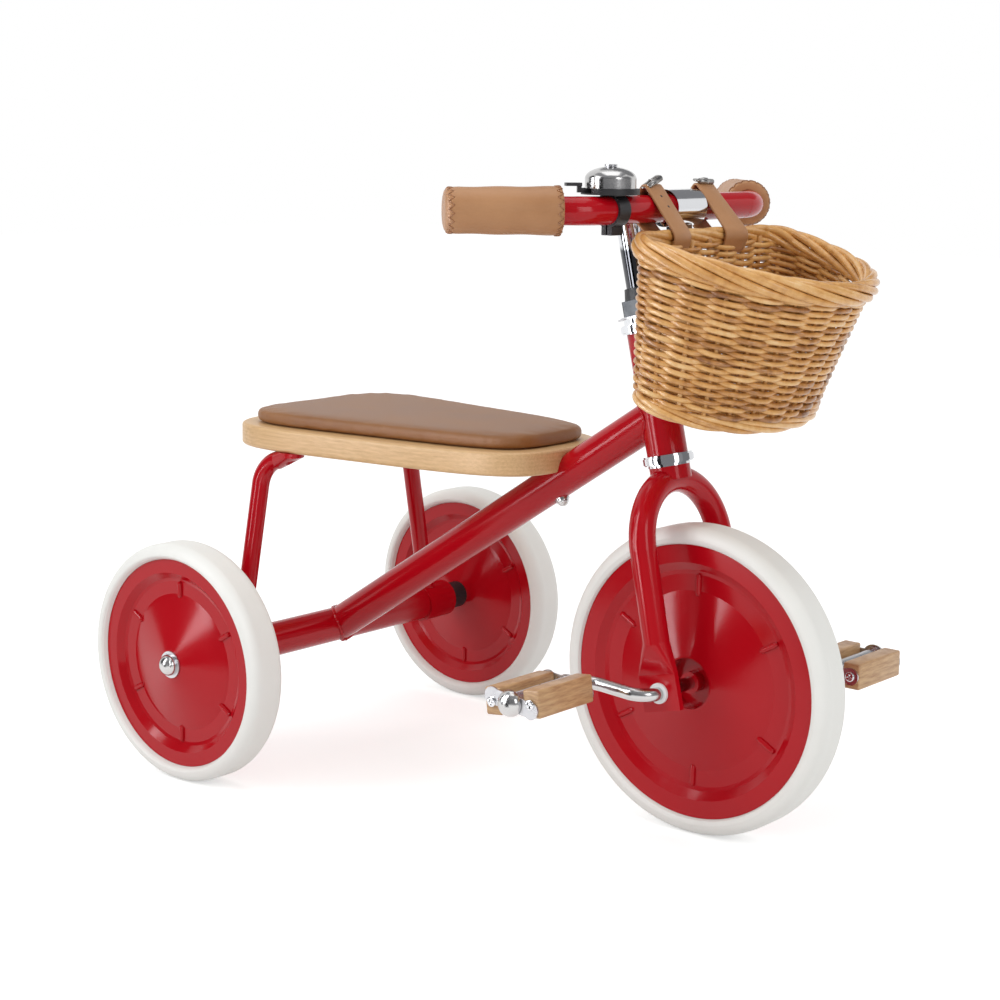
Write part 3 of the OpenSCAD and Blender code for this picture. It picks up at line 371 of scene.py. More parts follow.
def on_steering(height):
    """The point of the steering axis at that height over the floor."""
    return steer_at + steer_up * ((height - steer_at.z) / steer_up.z)


tube_r = 15.9 * mm
tube_foot_z = 106 * mm
tube_head_z = 347 * mm
head_tube_r = 17 * mm
tube_bead = 1.7 * mm
across = (0, 1, 0)
tube_foot = Vector((rear_axle_at.x, 0, tube_foot_z))
tube_head = on_steering(tube_head_z)
tube_along = (tube_head - tube_foot).normalized()
beads = Stock()
weld_bead(beads, weld_path(tube_foot, tube_along, tube_r, rear_axle_at, across, tube_r), tube_bead)
weld_bead(beads, weld_path(tube_head - tube_along * 0.1, tube_along, tube_r, steer_at, steer_up,
                           head_tube_r, nearest=False), tube_bead)
strut_r = 8 * mm
strut_foot_y = 128 * mm
strut_top_y = 96 * mm
axle_sleeve_r = 18 * mm
strut_bead = 1.4 * mm
strut_low, strut_high = rear_axle_at.z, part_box("seat_strut_left")[1].z - strut_r
strut_lean = (strut_foot_y - strut_top_y) / (strut_high - strut_low)
for side in (-1, 1):
    foot = rear_axle_at + Vector((0, side * strut_foot_y, 0))
    strut_along = (0, -side * strut_lean, 1)
    weld_bead(beads, weld_path(foot, strut_along, strut_r, rear_axle_at, across, axle_sleeve_r,
                               steps=40), strut_bead)
beads.piece("weld_beads", "frame", "red_paint", red_paint)

zinc_steel = skin_finish("zinc_steel", (0.50, 0.50, 0.52), (0.68, 0.68, 0.70), (0.24, 0.40),
                         metallic=1.0, scale=90.0, ripple_scale=900.0, ripple_depth=0.12)
bright_chrome = skin_finish("bright_chrome", (0.66, 0.67, 0.69), (0.74, 0.75, 0.77), (0.06, 0.12),
                            metallic=1.0, scale=40.0, ripple_scale=200.0, ripple_depth=0.03)
satin_chrome = skin_finish("satin_chrome", (0.50, 0.50, 0.50), (0.62, 0.61, 0.60), (0.16, 0.26),
                           metallic=1.0, scale=60.0, ripple_scale=500.0, ripple_depth=0.08)
dark_steel = skin_finish("dark_steel", (0.06, 0.065, 0.07), (0.14, 0.145, 0.15), (0.28, 0.42),
                         metallic=1.0, scale=70.0)
black_plastic = skin_finish("black_plastic", (0.012, 0.012, 0.014), (0.022, 0.022, 0.026), (0.38, 0.5),
                            scale=60.0, ripple_scale=1500.0, ripple_depth=0.3)
dress(zinc_steel, "rear_axle", "wheel_washers", "seat_bolt", "strut_screws")
dress(satin_chrome, "cap_nuts", "seat_nut")
dress(black_plastic, "axle_spacers")


# ---------- wheels ----------
# Each wheel is two pressed steel discs, painted red, clamped over the web of a solid off-white
# rubber tyre. The rear wheels turn on the axle rod and the front one is fixed to the crank.
off_white_rubber = skin_finish("off_white_rubber", (0.80, 0.80, 0.765), (0.86, 0.86, 0.83), (0.46, 0.58),
                               scale=24.0, ripple_scale=1100.0, ripple_depth=0.22)
dress(red_paint, "rear_disc_outer_right", "rear_disc_inner_right", "rear_disc_outer_left",
      "rear_disc_inner_left", "front_disc_right", "front_disc_left")
dress(off_white_rubber, "rear_tyre_right", "rear_tyre_left", "front_tyre")
dress(zinc_steel, "rear_hub_right", "rear_hub_left")
dress(red_paint, "front_hub")


# ---------- fork and headset ----------
# The fork is one bent tube with square plates at its ends, welded to the steerer. The headset
# has pressed cups, balls, a screwed cone, a keyed washer and a lock nut. The crank's bushes in
# the plates are plain nylon.
white_nylon = skin_finish("white_nylon", (0.76, 0.765, 0.77), (0.84, 0.845, 0.85), (0.3, 0.4),
                          scale=60.0)
dress(red_paint, "fork_legs", "fork_steerer", "dropout_right", "dropout_left")
dress(bright_chrome, "headset_cups", "crown_race", "headset_cone")
dress(zinc_steel, "headset_balls", "keyed_washer")
dress(dark_steel, "lock_nut")
dress(black_plastic, "stem_seal")
dress(white_nylon, "crank_bushes")


# ---------- crank and pedals ----------
# A chromed rod, bent twice on each side, runs through the front hub. Each pedal has two ash
# blocks screwed into a folded steel carrier, and a round cap holds it on the rod.
dress(satin_chrome, "crank_rod", "pedal_caps")
dress(zinc_steel, "pedal_carrier_right", "pedal_carrier_left")

# Long fibres with slow, wide growth bands: the grain runs along the X of the stretched place
wood, given, result = effect(
    "ash_grain", {"Place": (VECTOR, (0, 0, 0)), "Pale": (COLOUR, (0.7, 0.45, 0.2, 1)),
                  "Deep": (COLOUR, (0.45, 0.25, 0.1, 1)), "Bands": (FLOAT, 60.0)},
    {"Color": COLOUR, "Height": FLOAT, "Roughness": FLOAT})
bends = wired(wood, "ShaderNodeTexNoise", [("Vector", given.outputs["Place"]), ("Scale", 7.0),
              ("Detail", 3.0)])
bent = wired(wood, "ShaderNodeVectorMath", [(0, bends.outputs["Color"]), ("Scale", 0.025)],
             operation="SCALE")
moved = wired(wood, "ShaderNodeVectorMath", [(0, given.outputs["Place"]), (1, bent.outputs[0])],
              operation="ADD")
bands = wired(wood, "ShaderNodeTexWave", [("Vector", moved.outputs[0]),
              ("Scale", given.outputs["Bands"]), ("Distortion", 1.2), ("Detail", 3.0),
              ("Detail Scale", 1.6)], bands_direction="Z")
fibre_scale = wired(wood, "ShaderNodeMapping", [("Vector", given.outputs["Place"]),
                    ("Scale", (1.0, 9.0, 9.0))])
fibres = wired(wood, "ShaderNodeTexNoise", [("Vector", fibre_scale.outputs[0]), ("Scale", 70.0),
               ("Detail", 5.0), ("Roughness", 0.65)])
pores = wired(wood, "ShaderNodeMapRange", [("Value", fibres.outputs["Fac"]), ("From Min", 0.30),
              ("From Max", 0.62)])
band_share = wired(wood, "ShaderNodeMath", [(0, bands.outputs["Fac"]), (1, 0.25)],
                   operation="MULTIPLY")
fibre_share = wired(wood, "ShaderNodeMath", [(0, pores.outputs[0]), (1, 0.75)],
                    operation="MULTIPLY")
grain = wired(wood, "ShaderNodeMath", [(0, band_share.outputs[0]), (1, fibre_share.outputs[0])],
              operation="ADD")
tint = wired(wood, "ShaderNodeMix", [("Factor", grain.outputs[0]), (6, given.outputs["Deep"]),
             (7, given.outputs["Pale"])], data_type="RGBA")
gloss = wired(wood, "ShaderNodeMapRange", [("Value", grain.outputs[0]), ("To Min", 0.5),
              ("To Max", 0.36)])
wood.links.new(tint.outputs[2], result.inputs["Color"])
wood.links.new(grain.outputs[0], result.inputs["Height"])
wood.links.new(gloss.outputs[0], result.inputs["Roughness"])


def ash_finish(name, turn, stretch, pale, deep, bands):
    """Lacquered ash; turn and stretch set which way its grain runs."""
    finish, tree, shader = new_finish(name)
    place = wired(tree, "ShaderNodeTexCoord")
    laid = wired(tree, "ShaderNodeMapping", [("Vector", place.outputs["Object"]), ("Rotation", turn),
                 ("Scale", stretch)])
    grain = group_node(tree, wood, Pale=(*pale, 1), Deep=(*deep, 1), Bands=bands)
    tree.links.new(laid.outputs[0], grain.inputs["Place"])
    relief = wired(tree, "ShaderNodeBump", [("Height", grain.outputs["Height"]), ("Strength", 0.25),
                   ("Distance", 0.0004)])
    tree.links.new(grain.outputs["Color"], shader.inputs["Base Color"])
    tree.links.new(grain.outputs["Roughness"], shader.inputs["Roughness"])
    tree.links.new(relief.outputs[0], shader.inputs["Normal"])
    shader.inputs["Coat Weight"].default_value = 0.15
    shader.inputs["Coat Roughness"].default_value = 0.3
    return finish


pedal_ash = ash_finish("pedal_ash", turn=(0, 0, math.radians(90)), stretch=(0.12, 1.0, 1.0),
                       pale=(0.60, 0.38, 0.19), deep=(0.36, 0.18, 0.08), bands=55.0)


def eased_block(low, high, ease, steps=3):
    """A box with rounded edges, as points and faces."""
    shape = bmesh.new()
    bmesh.ops.create_cube(shape, size=1.0)
    low, high = Vector(low), Vector(high)
    size, middle = high - low, (low + high) / 2
    for vert in shape.verts:
        vert.co = Vector([vert.co[i] * size[i] + middle[i] for i in range(3)])
    bmesh.ops.bevel(shape, geom=list(shape.edges), offset=ease, segments=steps, profile=0.5,
                    affect="EDGES")
    points = [vert.co.copy() for vert in shape.verts]
    faces = [[vert.index for vert in face.verts] for face in shape.faces]
    shape.free()
    return points, faces


def turned(profile, steps=48):
    """A shape turned about Z from (radius, height) pairs; ends at radius 0 close it."""
    points, faces, rings = [], [], []
    for radius, height in profile:
        if radius < 1e-7:
            rings.append([len(points)])
            points.append(Vector((0, 0, height)))
        else:
            rings.append(list(range(len(points), len(points) + steps)))
            points.extend([Vector((radius * math.cos(math.tau * k / steps),
                                   radius * math.sin(math.tau * k / steps), height))
                           for k in range(steps)])
    for a, b in zip(rings, rings[1:]):
        for k in range(steps):
            m = (k + 1) % steps
            if len(a) == 1:
                faces.append((a[0], b[m], b[k]))
            elif len(b) == 1:
                faces.append((a[k], a[m], b[0]))
            else:
                faces.append((a[k], a[m], b[m], b[k]))
    return points, faces


def placed(shape, turn):
    """points and faces moved by the matrix turn."""
    points, faces = shape
    return [turn @ point for point in points], faces


def lying(origin, up, along=None):
    """A matrix that puts Z along up, and X along along, at origin."""
    z = Vector(up).normalized()
    x = Vector(along) if along else z.orthogonal()
    x = (x - z * x.dot(z)).normalized()
    y = z.cross(x)
    turn = Matrix((x, y, z)).transposed().to_4x4()
    turn.translation = Vector(origin)
    return turn


def screw_head(origin, up, radius, height):
    """A domed screw head with a cross recess."""
    dome = [(radius, 0), (radius, height * 0.45)]
    dome += [(radius * math.cos(a), height * (0.45 + 0.55 * math.sin(a)))
             for a in [math.radians(x) for x in (20, 40, 60, 75)]]
    points, faces = turned(dome + [(0, height)], 24)
    head = []
    for point in points:
        arm = min(abs(point.x), abs(point.y))
        reach = max(abs(point.x), abs(point.y))
        sunk = arm < radius * 0.16 and reach < radius * 0.7 and point.z > height * 0.5
        head.append(Vector((point.x, point.y, point.z - height * 0.5 if sunk else point.z)))
    return placed((head, faces), lying(origin, up))


pedal_h = 22.5 * mm
pedal_block = 16 * mm
pedal_l = 55 * mm
block_ease = 1.6 * mm
carrier_t = 1.6 * mm
screw_r, screw_rise = 4.2 * mm, 2.0 * mm
for side_name, side, pitch in (("right", -1, 7), ("left", 1, 0)):
    body = "pedal_" + side_name
    hub = Vector(joints["pedal_spin_" + side_name]["pos_m"])
    low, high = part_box("pedal_blocks_" + side_name)
    blocks = Stock()
    screws = Stock()
    tilt = Matrix.Rotation(math.radians(-pitch), 4, "Y")
    tilt.translation = Vector((hub.x, 0, hub.z))
    for end in (-1, 1):
        middle = end * (pedal_l - pedal_block) / 2
        block = eased_block((middle - pedal_block / 2, low.y, -pedal_h / 2),
                            (middle + pedal_block / 2, high.y, pedal_h / 2), block_ease)
        blocks.add(*placed(block, tilt))
        for y, out in ((low.y, -1), (high.y, 1)):
            seat = tilt @ Vector((middle, y + out * carrier_t, 0))
            screws.add(*screw_head(seat, (0, out, 0), screw_r, screw_rise))
    made = blocks.piece("pedal_wood_" + side_name, body, "ash_wood", pedal_ash)
    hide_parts("pedal_blocks_" + side_name)
    made = screws.piece("pedal_screw_heads_" + side_name, body, "chrome", bright_chrome)
    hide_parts("pedal_screws_" + side_name)


# ---------- seat ----------
# A board of pale ash with eased edges, screwed to the two struts and bolted to the main tube, and
# on it a thin foam pad in a smooth brown cover, drawn tight over its rim.
seat_low, seat_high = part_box("seat_board")
seat_mid = (seat_low.x + seat_high.x) / 2
seat_length, seat_rear_w, seat_front_w = 302 * mm, 204 * mm, 126 * mm


def seat_line(length, rear_width, front_width, grow, power, count=144):
    """The seat's outline: a superellipse, wider behind than in front."""
    line = []
    for i in range(count):
        turn = math.tau * i / count
        c = math.copysign(abs(math.cos(turn)) ** (2 / power), math.cos(turn))
        s = math.copysign(abs(math.sin(turn)) ** (2 / power), math.sin(turn))
        half = (rear_width + front_width) / 4 + (front_width - rear_width) / 4 * c + grow
        line.append((seat_mid + (length / 2 + grow) * c, half * s))
    return line


def slab(rings, count=144):
    """Faces from each ring of points to the next, closed by one face at each end."""
    faces = []
    for a, b in zip(range(len(rings)), range(1, len(rings))):
        for k in range(count):
            m = (k + 1) % count
            faces.append((a * count + k, a * count + m, b * count + m, b * count + k))
    faces.append(tuple(reversed(range(count))))
    faces.append(tuple(range((len(rings) - 1) * count, len(rings) * count)))
    return [point for ring in rings for point in ring], faces


def seat_slab(low, high, ease, grow, power, crown=0.0, shares=(0.12, 0.4, 0.7, 0.88, 0.96)):
    """A slab over the seat's outline with round edges; its top rises by crown in the middle.

    grow widens the cushion's outline. shares are the sizes of the smaller rings on both faces.
    """
    size = (seat_length, seat_rear_w, seat_front_w)
    rings = []

    def ring(inset, height, share=1.0, lift=0.0):
        line = seat_line(*size, grow - inset, power)
        rings.append([Vector((seat_mid + (x - seat_mid) * share, y * share, height + lift))
                      for x, y in line])

    for share in shares:
        ring(ease, low, share)
    for step in range(6):
        turn = math.radians(90 * step / 5)
        ring(ease * (1 - math.sin(turn)), low + ease * (1 - math.cos(turn)))
    for step in range(6):
        turn = math.radians(90 * step / 5)
        ring(ease * (1 - math.cos(turn)), high - ease * (1 - math.sin(turn)))
    for share in reversed(shares):
        ring(ease, high, share, crown * (1 - share ** 4))
    return slab(rings)


seat_ash = ash_finish("seat_ash", turn=(0, 0, 0), stretch=(0.10, 1.0, 1.0),
                      pale=(0.71, 0.46, 0.225), deep=(0.54, 0.32, 0.135), bands=90.0)
board = Stock()
board.add(*seat_slab(seat_low.z, seat_high.z, ease=3.0 * mm, grow=13.5 * mm, power=4.2))
made = board.piece("seat_board_eased", "frame", "ash_wood", seat_ash)
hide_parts("seat_board")

# Leather: fine pebbles with creases between them, and slow change of tone
hide, given, result = effect(
    "hide_grain", {"Main": (COLOUR, (0.3, 0.15, 0.06, 1)), "Worn": (COLOUR, (0.4, 0.22, 0.1, 1)),
                   "Scale": (FLOAT, 700.0)},
    {"Color": COLOUR, "Height": FLOAT, "Roughness": FLOAT})
place = wired(hide, "ShaderNodeTexCoord")
pebbles = wired(hide, "ShaderNodeTexVoronoi", [("Vector", place.outputs["Object"]),
                ("Scale", given.outputs["Scale"])], feature="DISTANCE_TO_EDGE")
creases = wired(hide, "ShaderNodeMapRange", [("Value", pebbles.outputs["Distance"]),
                ("From Max", 0.12)])
age = wired(hide, "ShaderNodeTexNoise", [("Vector", place.outputs["Object"]), ("Scale", 18.0),
            ("Detail", 5.0), ("Roughness", 0.62)])
worn = wired(hide, "ShaderNodeMapRange", [("Value", age.outputs["Fac"]), ("From Min", 0.38),
             ("From Max", 0.68)])
tint = wired(hide, "ShaderNodeMix", [("Factor", worn.outputs[0]), (6, given.outputs["Main"]),
             (7, given.outputs["Worn"])], data_type="RGBA")
gloss = wired(hide, "ShaderNodeMapRange", [("Value", age.outputs["Fac"]), ("To Min", 0.36),
              ("To Max", 0.5)])
hide.links.new(tint.outputs[2], result.inputs["Color"])
hide.links.new(creases.outputs[0], result.inputs["Height"])
hide.links.new(gloss.outputs[0], result.inputs["Roughness"])


def leather_finish(name, main, worn, scale, depth, sheen):
    """Leather or leathercloth: scale sets how fine its pebbles are, and depth how deep."""
    finish, tree, shader = new_finish(name)
    grain = group_node(tree, hide, Main=(*main, 1), Worn=(*worn, 1), Scale=scale)
    relief = wired(tree, "ShaderNodeBump", [("Height", grain.outputs["Height"]), ("Strength", depth),
                   ("Distance", 0.0003)])
    tree.links.new(grain.outputs["Color"], shader.inputs["Base Color"])
    tree.links.new(grain.outputs["Roughness"], shader.inputs["Roughness"])
    tree.links.new(relief.outputs[0], shader.inputs["Normal"])
    shader.inputs["Sheen Weight"].default_value = sheen
    shader.inputs["Sheen Roughness"].default_value = 0.4
    return finish


seat_leather = leather_finish("seat_leather", (0.235, 0.088, 0.018), (0.29, 0.118, 0.030),
                              scale=620.0, depth=0.30, sheen=0.06)


def evaluated_mesh(piece):
    """A new mesh with the piece's modifiers applied."""
    current = bpy.context.evaluated_depsgraph_get()
    return bpy.data.meshes.new_from_object(piece.evaluated_get(current))


def swollen(piece, voxel, air, limit, held_below):
    """Fills a closed form with a little air, as cloth whose underside is held, up to limit."""
    even = piece.modifiers.new("even_mesh", "REMESH")
    even.mode, even.voxel_size = "VOXEL", voxel
    piece.data = evaluated_mesh(piece)
    piece.modifiers.clear()
    starts = [vertex.co.copy() for vertex in piece.data.vertices]
    held = piece.vertex_groups.new(name="held")
    held.add([k for k, point in enumerate(starts) if point.z < held_below], 1.0, "REPLACE")
    cover = piece.modifiers.new("cover", "CLOTH")
    cover.settings.vertex_group_mass = "held"
    cover.settings.use_pressure = True
    cover.settings.uniform_pressure_force = air
    cover.settings.effector_weights.gravity = 0
    last_frame = 20
    cover.point_cache.frame_start, cover.point_cache.frame_end = 1, last_frame
    for moment in range(1, last_frame + 1):
        bpy.context.scene.frame_set(moment)
    blown = evaluated_mesh(piece)
    for vertex, start in zip(blown.vertices, starts):
        move = vertex.co - start
        vertex.co = start + move * (limit / max(move.length, limit))
    piece.modifiers.clear()
    piece.vertex_groups.clear()
    piece.data = blown
    bpy.context.scene.frame_set(1)
    smooth = piece.modifiers.new("drawn_tight", "SMOOTH")
    smooth.factor, smooth.iterations = 0.5, 2
    piece.modifiers.new("fine", "SUBSURF").levels = 1
    piece.modifiers["fine"].render_levels = 1
    piece.data = evaluated_mesh(piece)
    piece.modifiers.clear()
    piece.data.shade_smooth()


pad_low, pad_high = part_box("seat_pad")
pad = Stock()
pad.add(*seat_slab(pad_low.z, pad_high.z - 1.3 * mm, ease=3.6 * mm, grow=-1.1 * mm, power=5.0,
                   crown=0.6 * mm, shares=(0.05, 0.15, 0.3, 0.45, 0.6, 0.72, 0.82, 0.9, 0.95)))
made = pad.piece("seat_pad_cover", "frame", "seat_leather", seat_leather)
swollen(made, voxel=3.2 * mm, air=4.0, limit=0.9 * mm, held_below=pad_low.z + 1.2 * mm)
made.data.materials.clear()
made.data.materials.append(seat_leather)
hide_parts("seat_pad")


# ---------- stem and handlebar ----------
# A quill stem slides in the steerer and clamps a swept handlebar of painted tube. The stem is
# chromed, and its quill is coloured near black, a painted dark reflection. Each grip is a tan leather
# sleeve, whip-stitched at both ends.
stem_chrome = skin_finish("stem_chrome", (0.66, 0.67, 0.69), (0.74, 0.75, 0.77), (0.06, 0.12),
                          metallic=1.0, scale=40.0, ripple_scale=200.0, ripple_depth=0.03)
# Below dark_top the quill's colour fades from the chrome to near black: painted shade standing in for
# the dark reflection the quill shows
quill_low, quill_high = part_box("lock_nut")[1].z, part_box("handlebar")[0].z
dark_top = quill_high - 0.42 * (quill_high - quill_low)
bright_foot = quill_high - 0.36 * (quill_high - quill_low)
tree = stem_chrome.node_tree
shader = tree.nodes["Principled BSDF"]
plated = shader.inputs["Base Color"].links[0].from_socket
place = wired(tree, "ShaderNodeTexCoord")
parts = wired(tree, "ShaderNodeSeparateXYZ", [("Vector", place.outputs["Object"])])
depth = wired(tree, "ShaderNodeMapRange", [("Value", parts.outputs["Z"]), ("From Min", dark_top),
              ("From Max", bright_foot)])
quill_shade = wired(tree, "ShaderNodeMix", [("Factor", depth.outputs[0]), (6, (0.09, 0.092, 0.10, 1)),
              (7, plated)], data_type="RGBA")
tree.links.new(quill_shade.outputs[2], shader.inputs["Base Color"])
dress(stem_chrome, "stem")
dress(dark_steel, "expander_bolt", "clamp_bolt")
dress(zinc_steel, "expander_wedge")
dress(red_paint, "handlebar")

bar_low, bar_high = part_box("handlebar")
bar_r = 11.1 * mm
bar_at = Vector((bar_high.x - bar_r, 0, (bar_low.z + bar_high.z) / 2))
bar_half = 109 * mm
bar_sweep = math.radians(41.5)
grip_start = 27.3 * mm
grip_l = 91 * mm
grip_r = 18.75 * mm

tan_leather = leather_finish("tan_leather", (0.40, 0.185, 0.072), (0.46, 0.225, 0.095),
                             scale=900.0, depth=0.18, sheen=0.1)
waxed_thread = skin_finish("waxed_thread", (0.26, 0.10, 0.04), (0.42, 0.20, 0.09), (0.5, 0.6),
                           scale=300.0)


def grip_sleeve(length):
    """The sleeve's skin, from its inner end: a slightly tapered tube with soft ends."""
    profile = [(bar_r + 0.3 * mm, 0.8 * mm), (grip_r - 2.2 * mm, 0.0), (grip_r - 0.7 * mm, 0.5 * mm),
               (grip_r - 0.1 * mm, 2.0 * mm), (grip_r + 0.1 * mm, 6 * mm)]
    profile += [(grip_r - 1.0 * mm * x / length + 0.25 * mm * math.sin(x * 160), x)
                for x in [length * k / 16 for k in range(2, 15)]]
    profile += [(grip_r - 1.1 * mm, length - 6 * mm), (grip_r - 1.6 * mm, length - 3 * mm),
                (grip_r - 3.6 * mm, length - 0.9 * mm), (grip_r - 6.5 * mm, length - 0.1 * mm),
                (8 * mm, length), (0, length)]
    return turned(profile, 64)


def grip_stitches(stock, radius, edge, face, count=17):
    """Whip stitches over a sleeve's end: a zigzag from the skin's holes to its edge."""
    depth = 4.6 * mm * face
    thread_r = 0.42 * mm
    for k in range(count):
        for a, b in ((k, k + 0.5), (k + 0.5, k + 1)):
            path = []
            for share in (0, 0.25, 0.5, 0.75, 1.0):
                turn = math.tau * (a + (b - a) * share) / count
                inner = share if b % 1 else 1 - share
                lift = radius + 0.35 * mm - (0.9 * mm if inner < 0.2 else 0)
                path.append(Vector((lift * math.cos(turn), lift * math.sin(turn),
                                    edge + depth * inner)))
            stock.add(*rod(path, thread_r, 6))


for side_name, side in (("right", -1), ("left", 1)):
    along = Vector((-math.sin(bar_sweep), side * math.cos(bar_sweep), 0))
    seat = bar_at + Vector((0, side * bar_half, 0)) + along * grip_start
    turn = lying(seat, along, (0, 0, 1))
    sleeve = Stock()
    sleeve.add(*placed(grip_sleeve(grip_l), turn))
    made = sleeve.piece("grip_sleeve_" + side_name, "bar", "tan_leather", tan_leather)
    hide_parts("grip_" + side_name)
    thread = Stock()
    stitches = Stock()
    grip_stitches(stitches, grip_r, 0.4 * mm, 1)
    grip_stitches(stitches, grip_r - 1.5 * mm, grip_l - 2.2 * mm, -1)
    thread.add(*placed((stitches.points, stitches.faces), turn))
    thread.piece("grip_thread_" + side_name, "bar", "tan_leather", waxed_thread)


# ---------- bell ----------
# A chromed dome on a black plastic base, held by a nut on the base's post. A band of the same
# plastic clamps the base round the bar, and the thumb lever turns about the post under the dome.
dress(satin_chrome, "bell_dome")
dress(zinc_steel, "bell_nut")
dress(black_plastic, "bell_base", "bell_lever")


# ---------- basket ----------
# Woven of varnished willow: rods run in front of one stake and behind the next, row by row, under
# a thick plaited border. A thinner plait goes round the foot, and the floor is woven too.
random.seed(7)
rim_at = bar_at + Vector((24 * mm, 0, -12.5 * mm))
foot_at = rim_at + Vector((-4.5 * mm, 0, -130 * mm))
rim_tilt, foot_tilt = math.radians(14.5), math.radians(17.5)
back_corner = 28 * mm
rim_size = (110 * mm, 156 * mm)
foot_size = (106 * mm, 98 * mm)
stakes = 22
side_parts = (0.145, 0.075, 0.56, 0.075, 0.145)


def basket_line(size, share):
    """(forward, across, normal forward, normal across) at a share of the way round, back first."""
    half, depth = size
    core, reach = half - back_corner, depth - 2 * back_corner
    s = share % 1.0
    for k, part in enumerate(side_parts):
        if s <= part or k == 4:
            break
        s -= part
    t = min(s / side_parts[k], 1.0)
    if k == 0:
        return 0, -core * t, -1, 0
    if k == 1:
        return 0, -core, -math.cos(t * math.pi / 2), -math.sin(t * math.pi / 2)
    if k == 2:
        turn = math.pi * t
        ahead, aside = math.sin(turn) / reach, -math.cos(turn) / core
        length = math.hypot(ahead, aside)
        return reach * math.sin(turn), -core * math.cos(turn), ahead / length, aside / length
    if k == 3:
        return 0, core, -math.sin(t * math.pi / 2), math.cos(t * math.pi / 2)
    return 0, core * (1 - t), -1, 0


def basket_spot(share, height, out=0.0, inset=7.5 * mm):
    """A point of the wall: height 0 at the foot and 1 at the rim; out is outwards."""
    spots = []
    for size, origin, tilt in ((foot_size, foot_at, foot_tilt), (rim_size, rim_at, rim_tilt)):
        ahead, aside, nx, ny = basket_line(size, share)
        radius = back_corner - inset + out
        x, y = back_corner + ahead + nx * radius, aside + ny * radius
        spots.append(origin + Vector((x * math.cos(tilt), y, -x * math.sin(tilt))))
    return spots[0].lerp(spots[1], height)


def even_shares(count, height):
    """count shares round the basket, an equal distance apart along the wall at that height."""
    fine = 720
    line = [basket_spot(k / fine, height) for k in range(fine + 1)]
    run = [0.0]
    for a, b in zip(line, line[1:]):
        run.append(run[-1] + (b - a).length)
    found, k = [], 0
    for i in range(count):
        want = run[-1] * i / count
        while run[k + 1] < want:
            k += 1
        found.append((k + (want - run[k]) / (run[k + 1] - run[k])) / fine)
    return found


# Willow under varnish: tone from rod to rod, streaks along it and blotches pick its colour from a
# ramp whose dark end is painted shade and whose pale end is partly painted highlight, both laid by noise
willow, tree, shader = new_finish("willow")
tone = wired(tree, "ShaderNodeAttribute", attribute_name="tone", attribute_type="GEOMETRY")
place = wired(tree, "ShaderNodeTexCoord")
streaks = wired(tree, "ShaderNodeTexNoise", [("Vector", place.outputs["Object"]), ("Scale", 160.0),
                ("Detail", 4.0), ("Roughness", 0.6)])
blotches = wired(tree, "ShaderNodeTexNoise", [("Vector", place.outputs["Object"]), ("Scale", 34.0),
                 ("Detail", 3.0)])
mixed = wired(tree, "ShaderNodeMath", [(0, streaks.outputs["Fac"]), (1, blotches.outputs["Fac"])],
              operation="ADD")
weighed = wired(tree, "ShaderNodeMath", [(0, mixed.outputs[0]), (1, tone.outputs["Fac"])],
                operation="ADD")
ramp = wired(tree, "ShaderNodeValToRGB")
scaled = wired(tree, "ShaderNodeMapRange", [("Value", weighed.outputs[0]), ("From Min", 0.85),
               ("From Max", 2.2)])
tree.links.new(scaled.outputs[0], ramp.inputs["Fac"])
# The darkest brown is painted shade meant for the gaps between rods; the palest gold is partly painted
# highlight
ramp.color_ramp.elements[0].color = (0.22, 0.075, 0.014, 1)
ramp.color_ramp.elements[1].color = (0.84, 0.56, 0.26, 1)
for position, colour in ((0.3, (0.50, 0.22, 0.05, 1)), (0.6, (0.70, 0.37, 0.11, 1))):
    ramp.color_ramp.elements.new(position).color = colour
relief = wired(tree, "ShaderNodeBump", [("Height", streaks.outputs["Fac"]), ("Strength", 0.22),
               ("Distance", 0.0004)])
gloss = wired(tree, "ShaderNodeMapRange", [("Value", blotches.outputs["Fac"]), ("To Min", 0.3),
              ("To Max", 0.5)])
tree.links.new(ramp.outputs["Color"], shader.inputs["Base Color"])
tree.links.new(gloss.outputs[0], shader.inputs["Roughness"])
tree.links.new(relief.outputs[0], shader.inputs["Normal"])
shader.inputs["Coat Weight"].default_value = 0.6
shader.inputs["Coat Roughness"].default_value = 0.16

weave = Stock()
low_row, high_row = 0.075, 0.905
rows = 36
per_stake = 8
rod_swing = 2.6 * mm
stake_r = 2.0 * mm
for row in range(rows):
    rise = (row + 0.5) / rows
    height = low_row + (high_row - low_row) * rise * (1.12 - 0.12 * rise)
    shares = even_shares(stakes * per_stake, height)
    path, sizes, tones = [], [], []
    tone_now, size_now = random.uniform(0.1, 0.9), random.uniform(1.95, 2.25)
    change = random.randrange(stakes)
    for k, share in enumerate(shares):
        stake = k / per_stake
        if k % per_stake == 0 and (k // per_stake + change) % 9 == 0:
            tone_now, size_now = random.uniform(0.05, 0.95), random.uniform(1.9, 2.3)
        swing = math.cos(math.pi * (stake + row))
        out = rod_swing * math.tanh(1.3 * swing) / math.tanh(1.3)
        wobble = noise.noise(Vector((share * 40, row * 3.7, 0))) * 0.005
        path.append(basket_spot(share, height + wobble, out))
        sizes.append(size_now * mm * (1 + 0.07 * noise.noise(Vector((share * 90, row * 5.1, 3)))))
        tones.append(tone_now)
    points, faces = rod(path, sizes, 10, closed=True)
    start = len(weave.points)
    weave.add(points, faces)
    for k, value in enumerate(tones):
        weave.tones[start + k * 10:start + (k + 1) * 10] = [value] * 10
for share in even_shares(stakes, 0.5):
    path = [basket_spot(share, 0.03 + 0.9 * k / 12, -0.6 * mm) for k in range(13)]
    weave.add(*rod(path, stake_r, 10), random.uniform(0.2, 0.8))


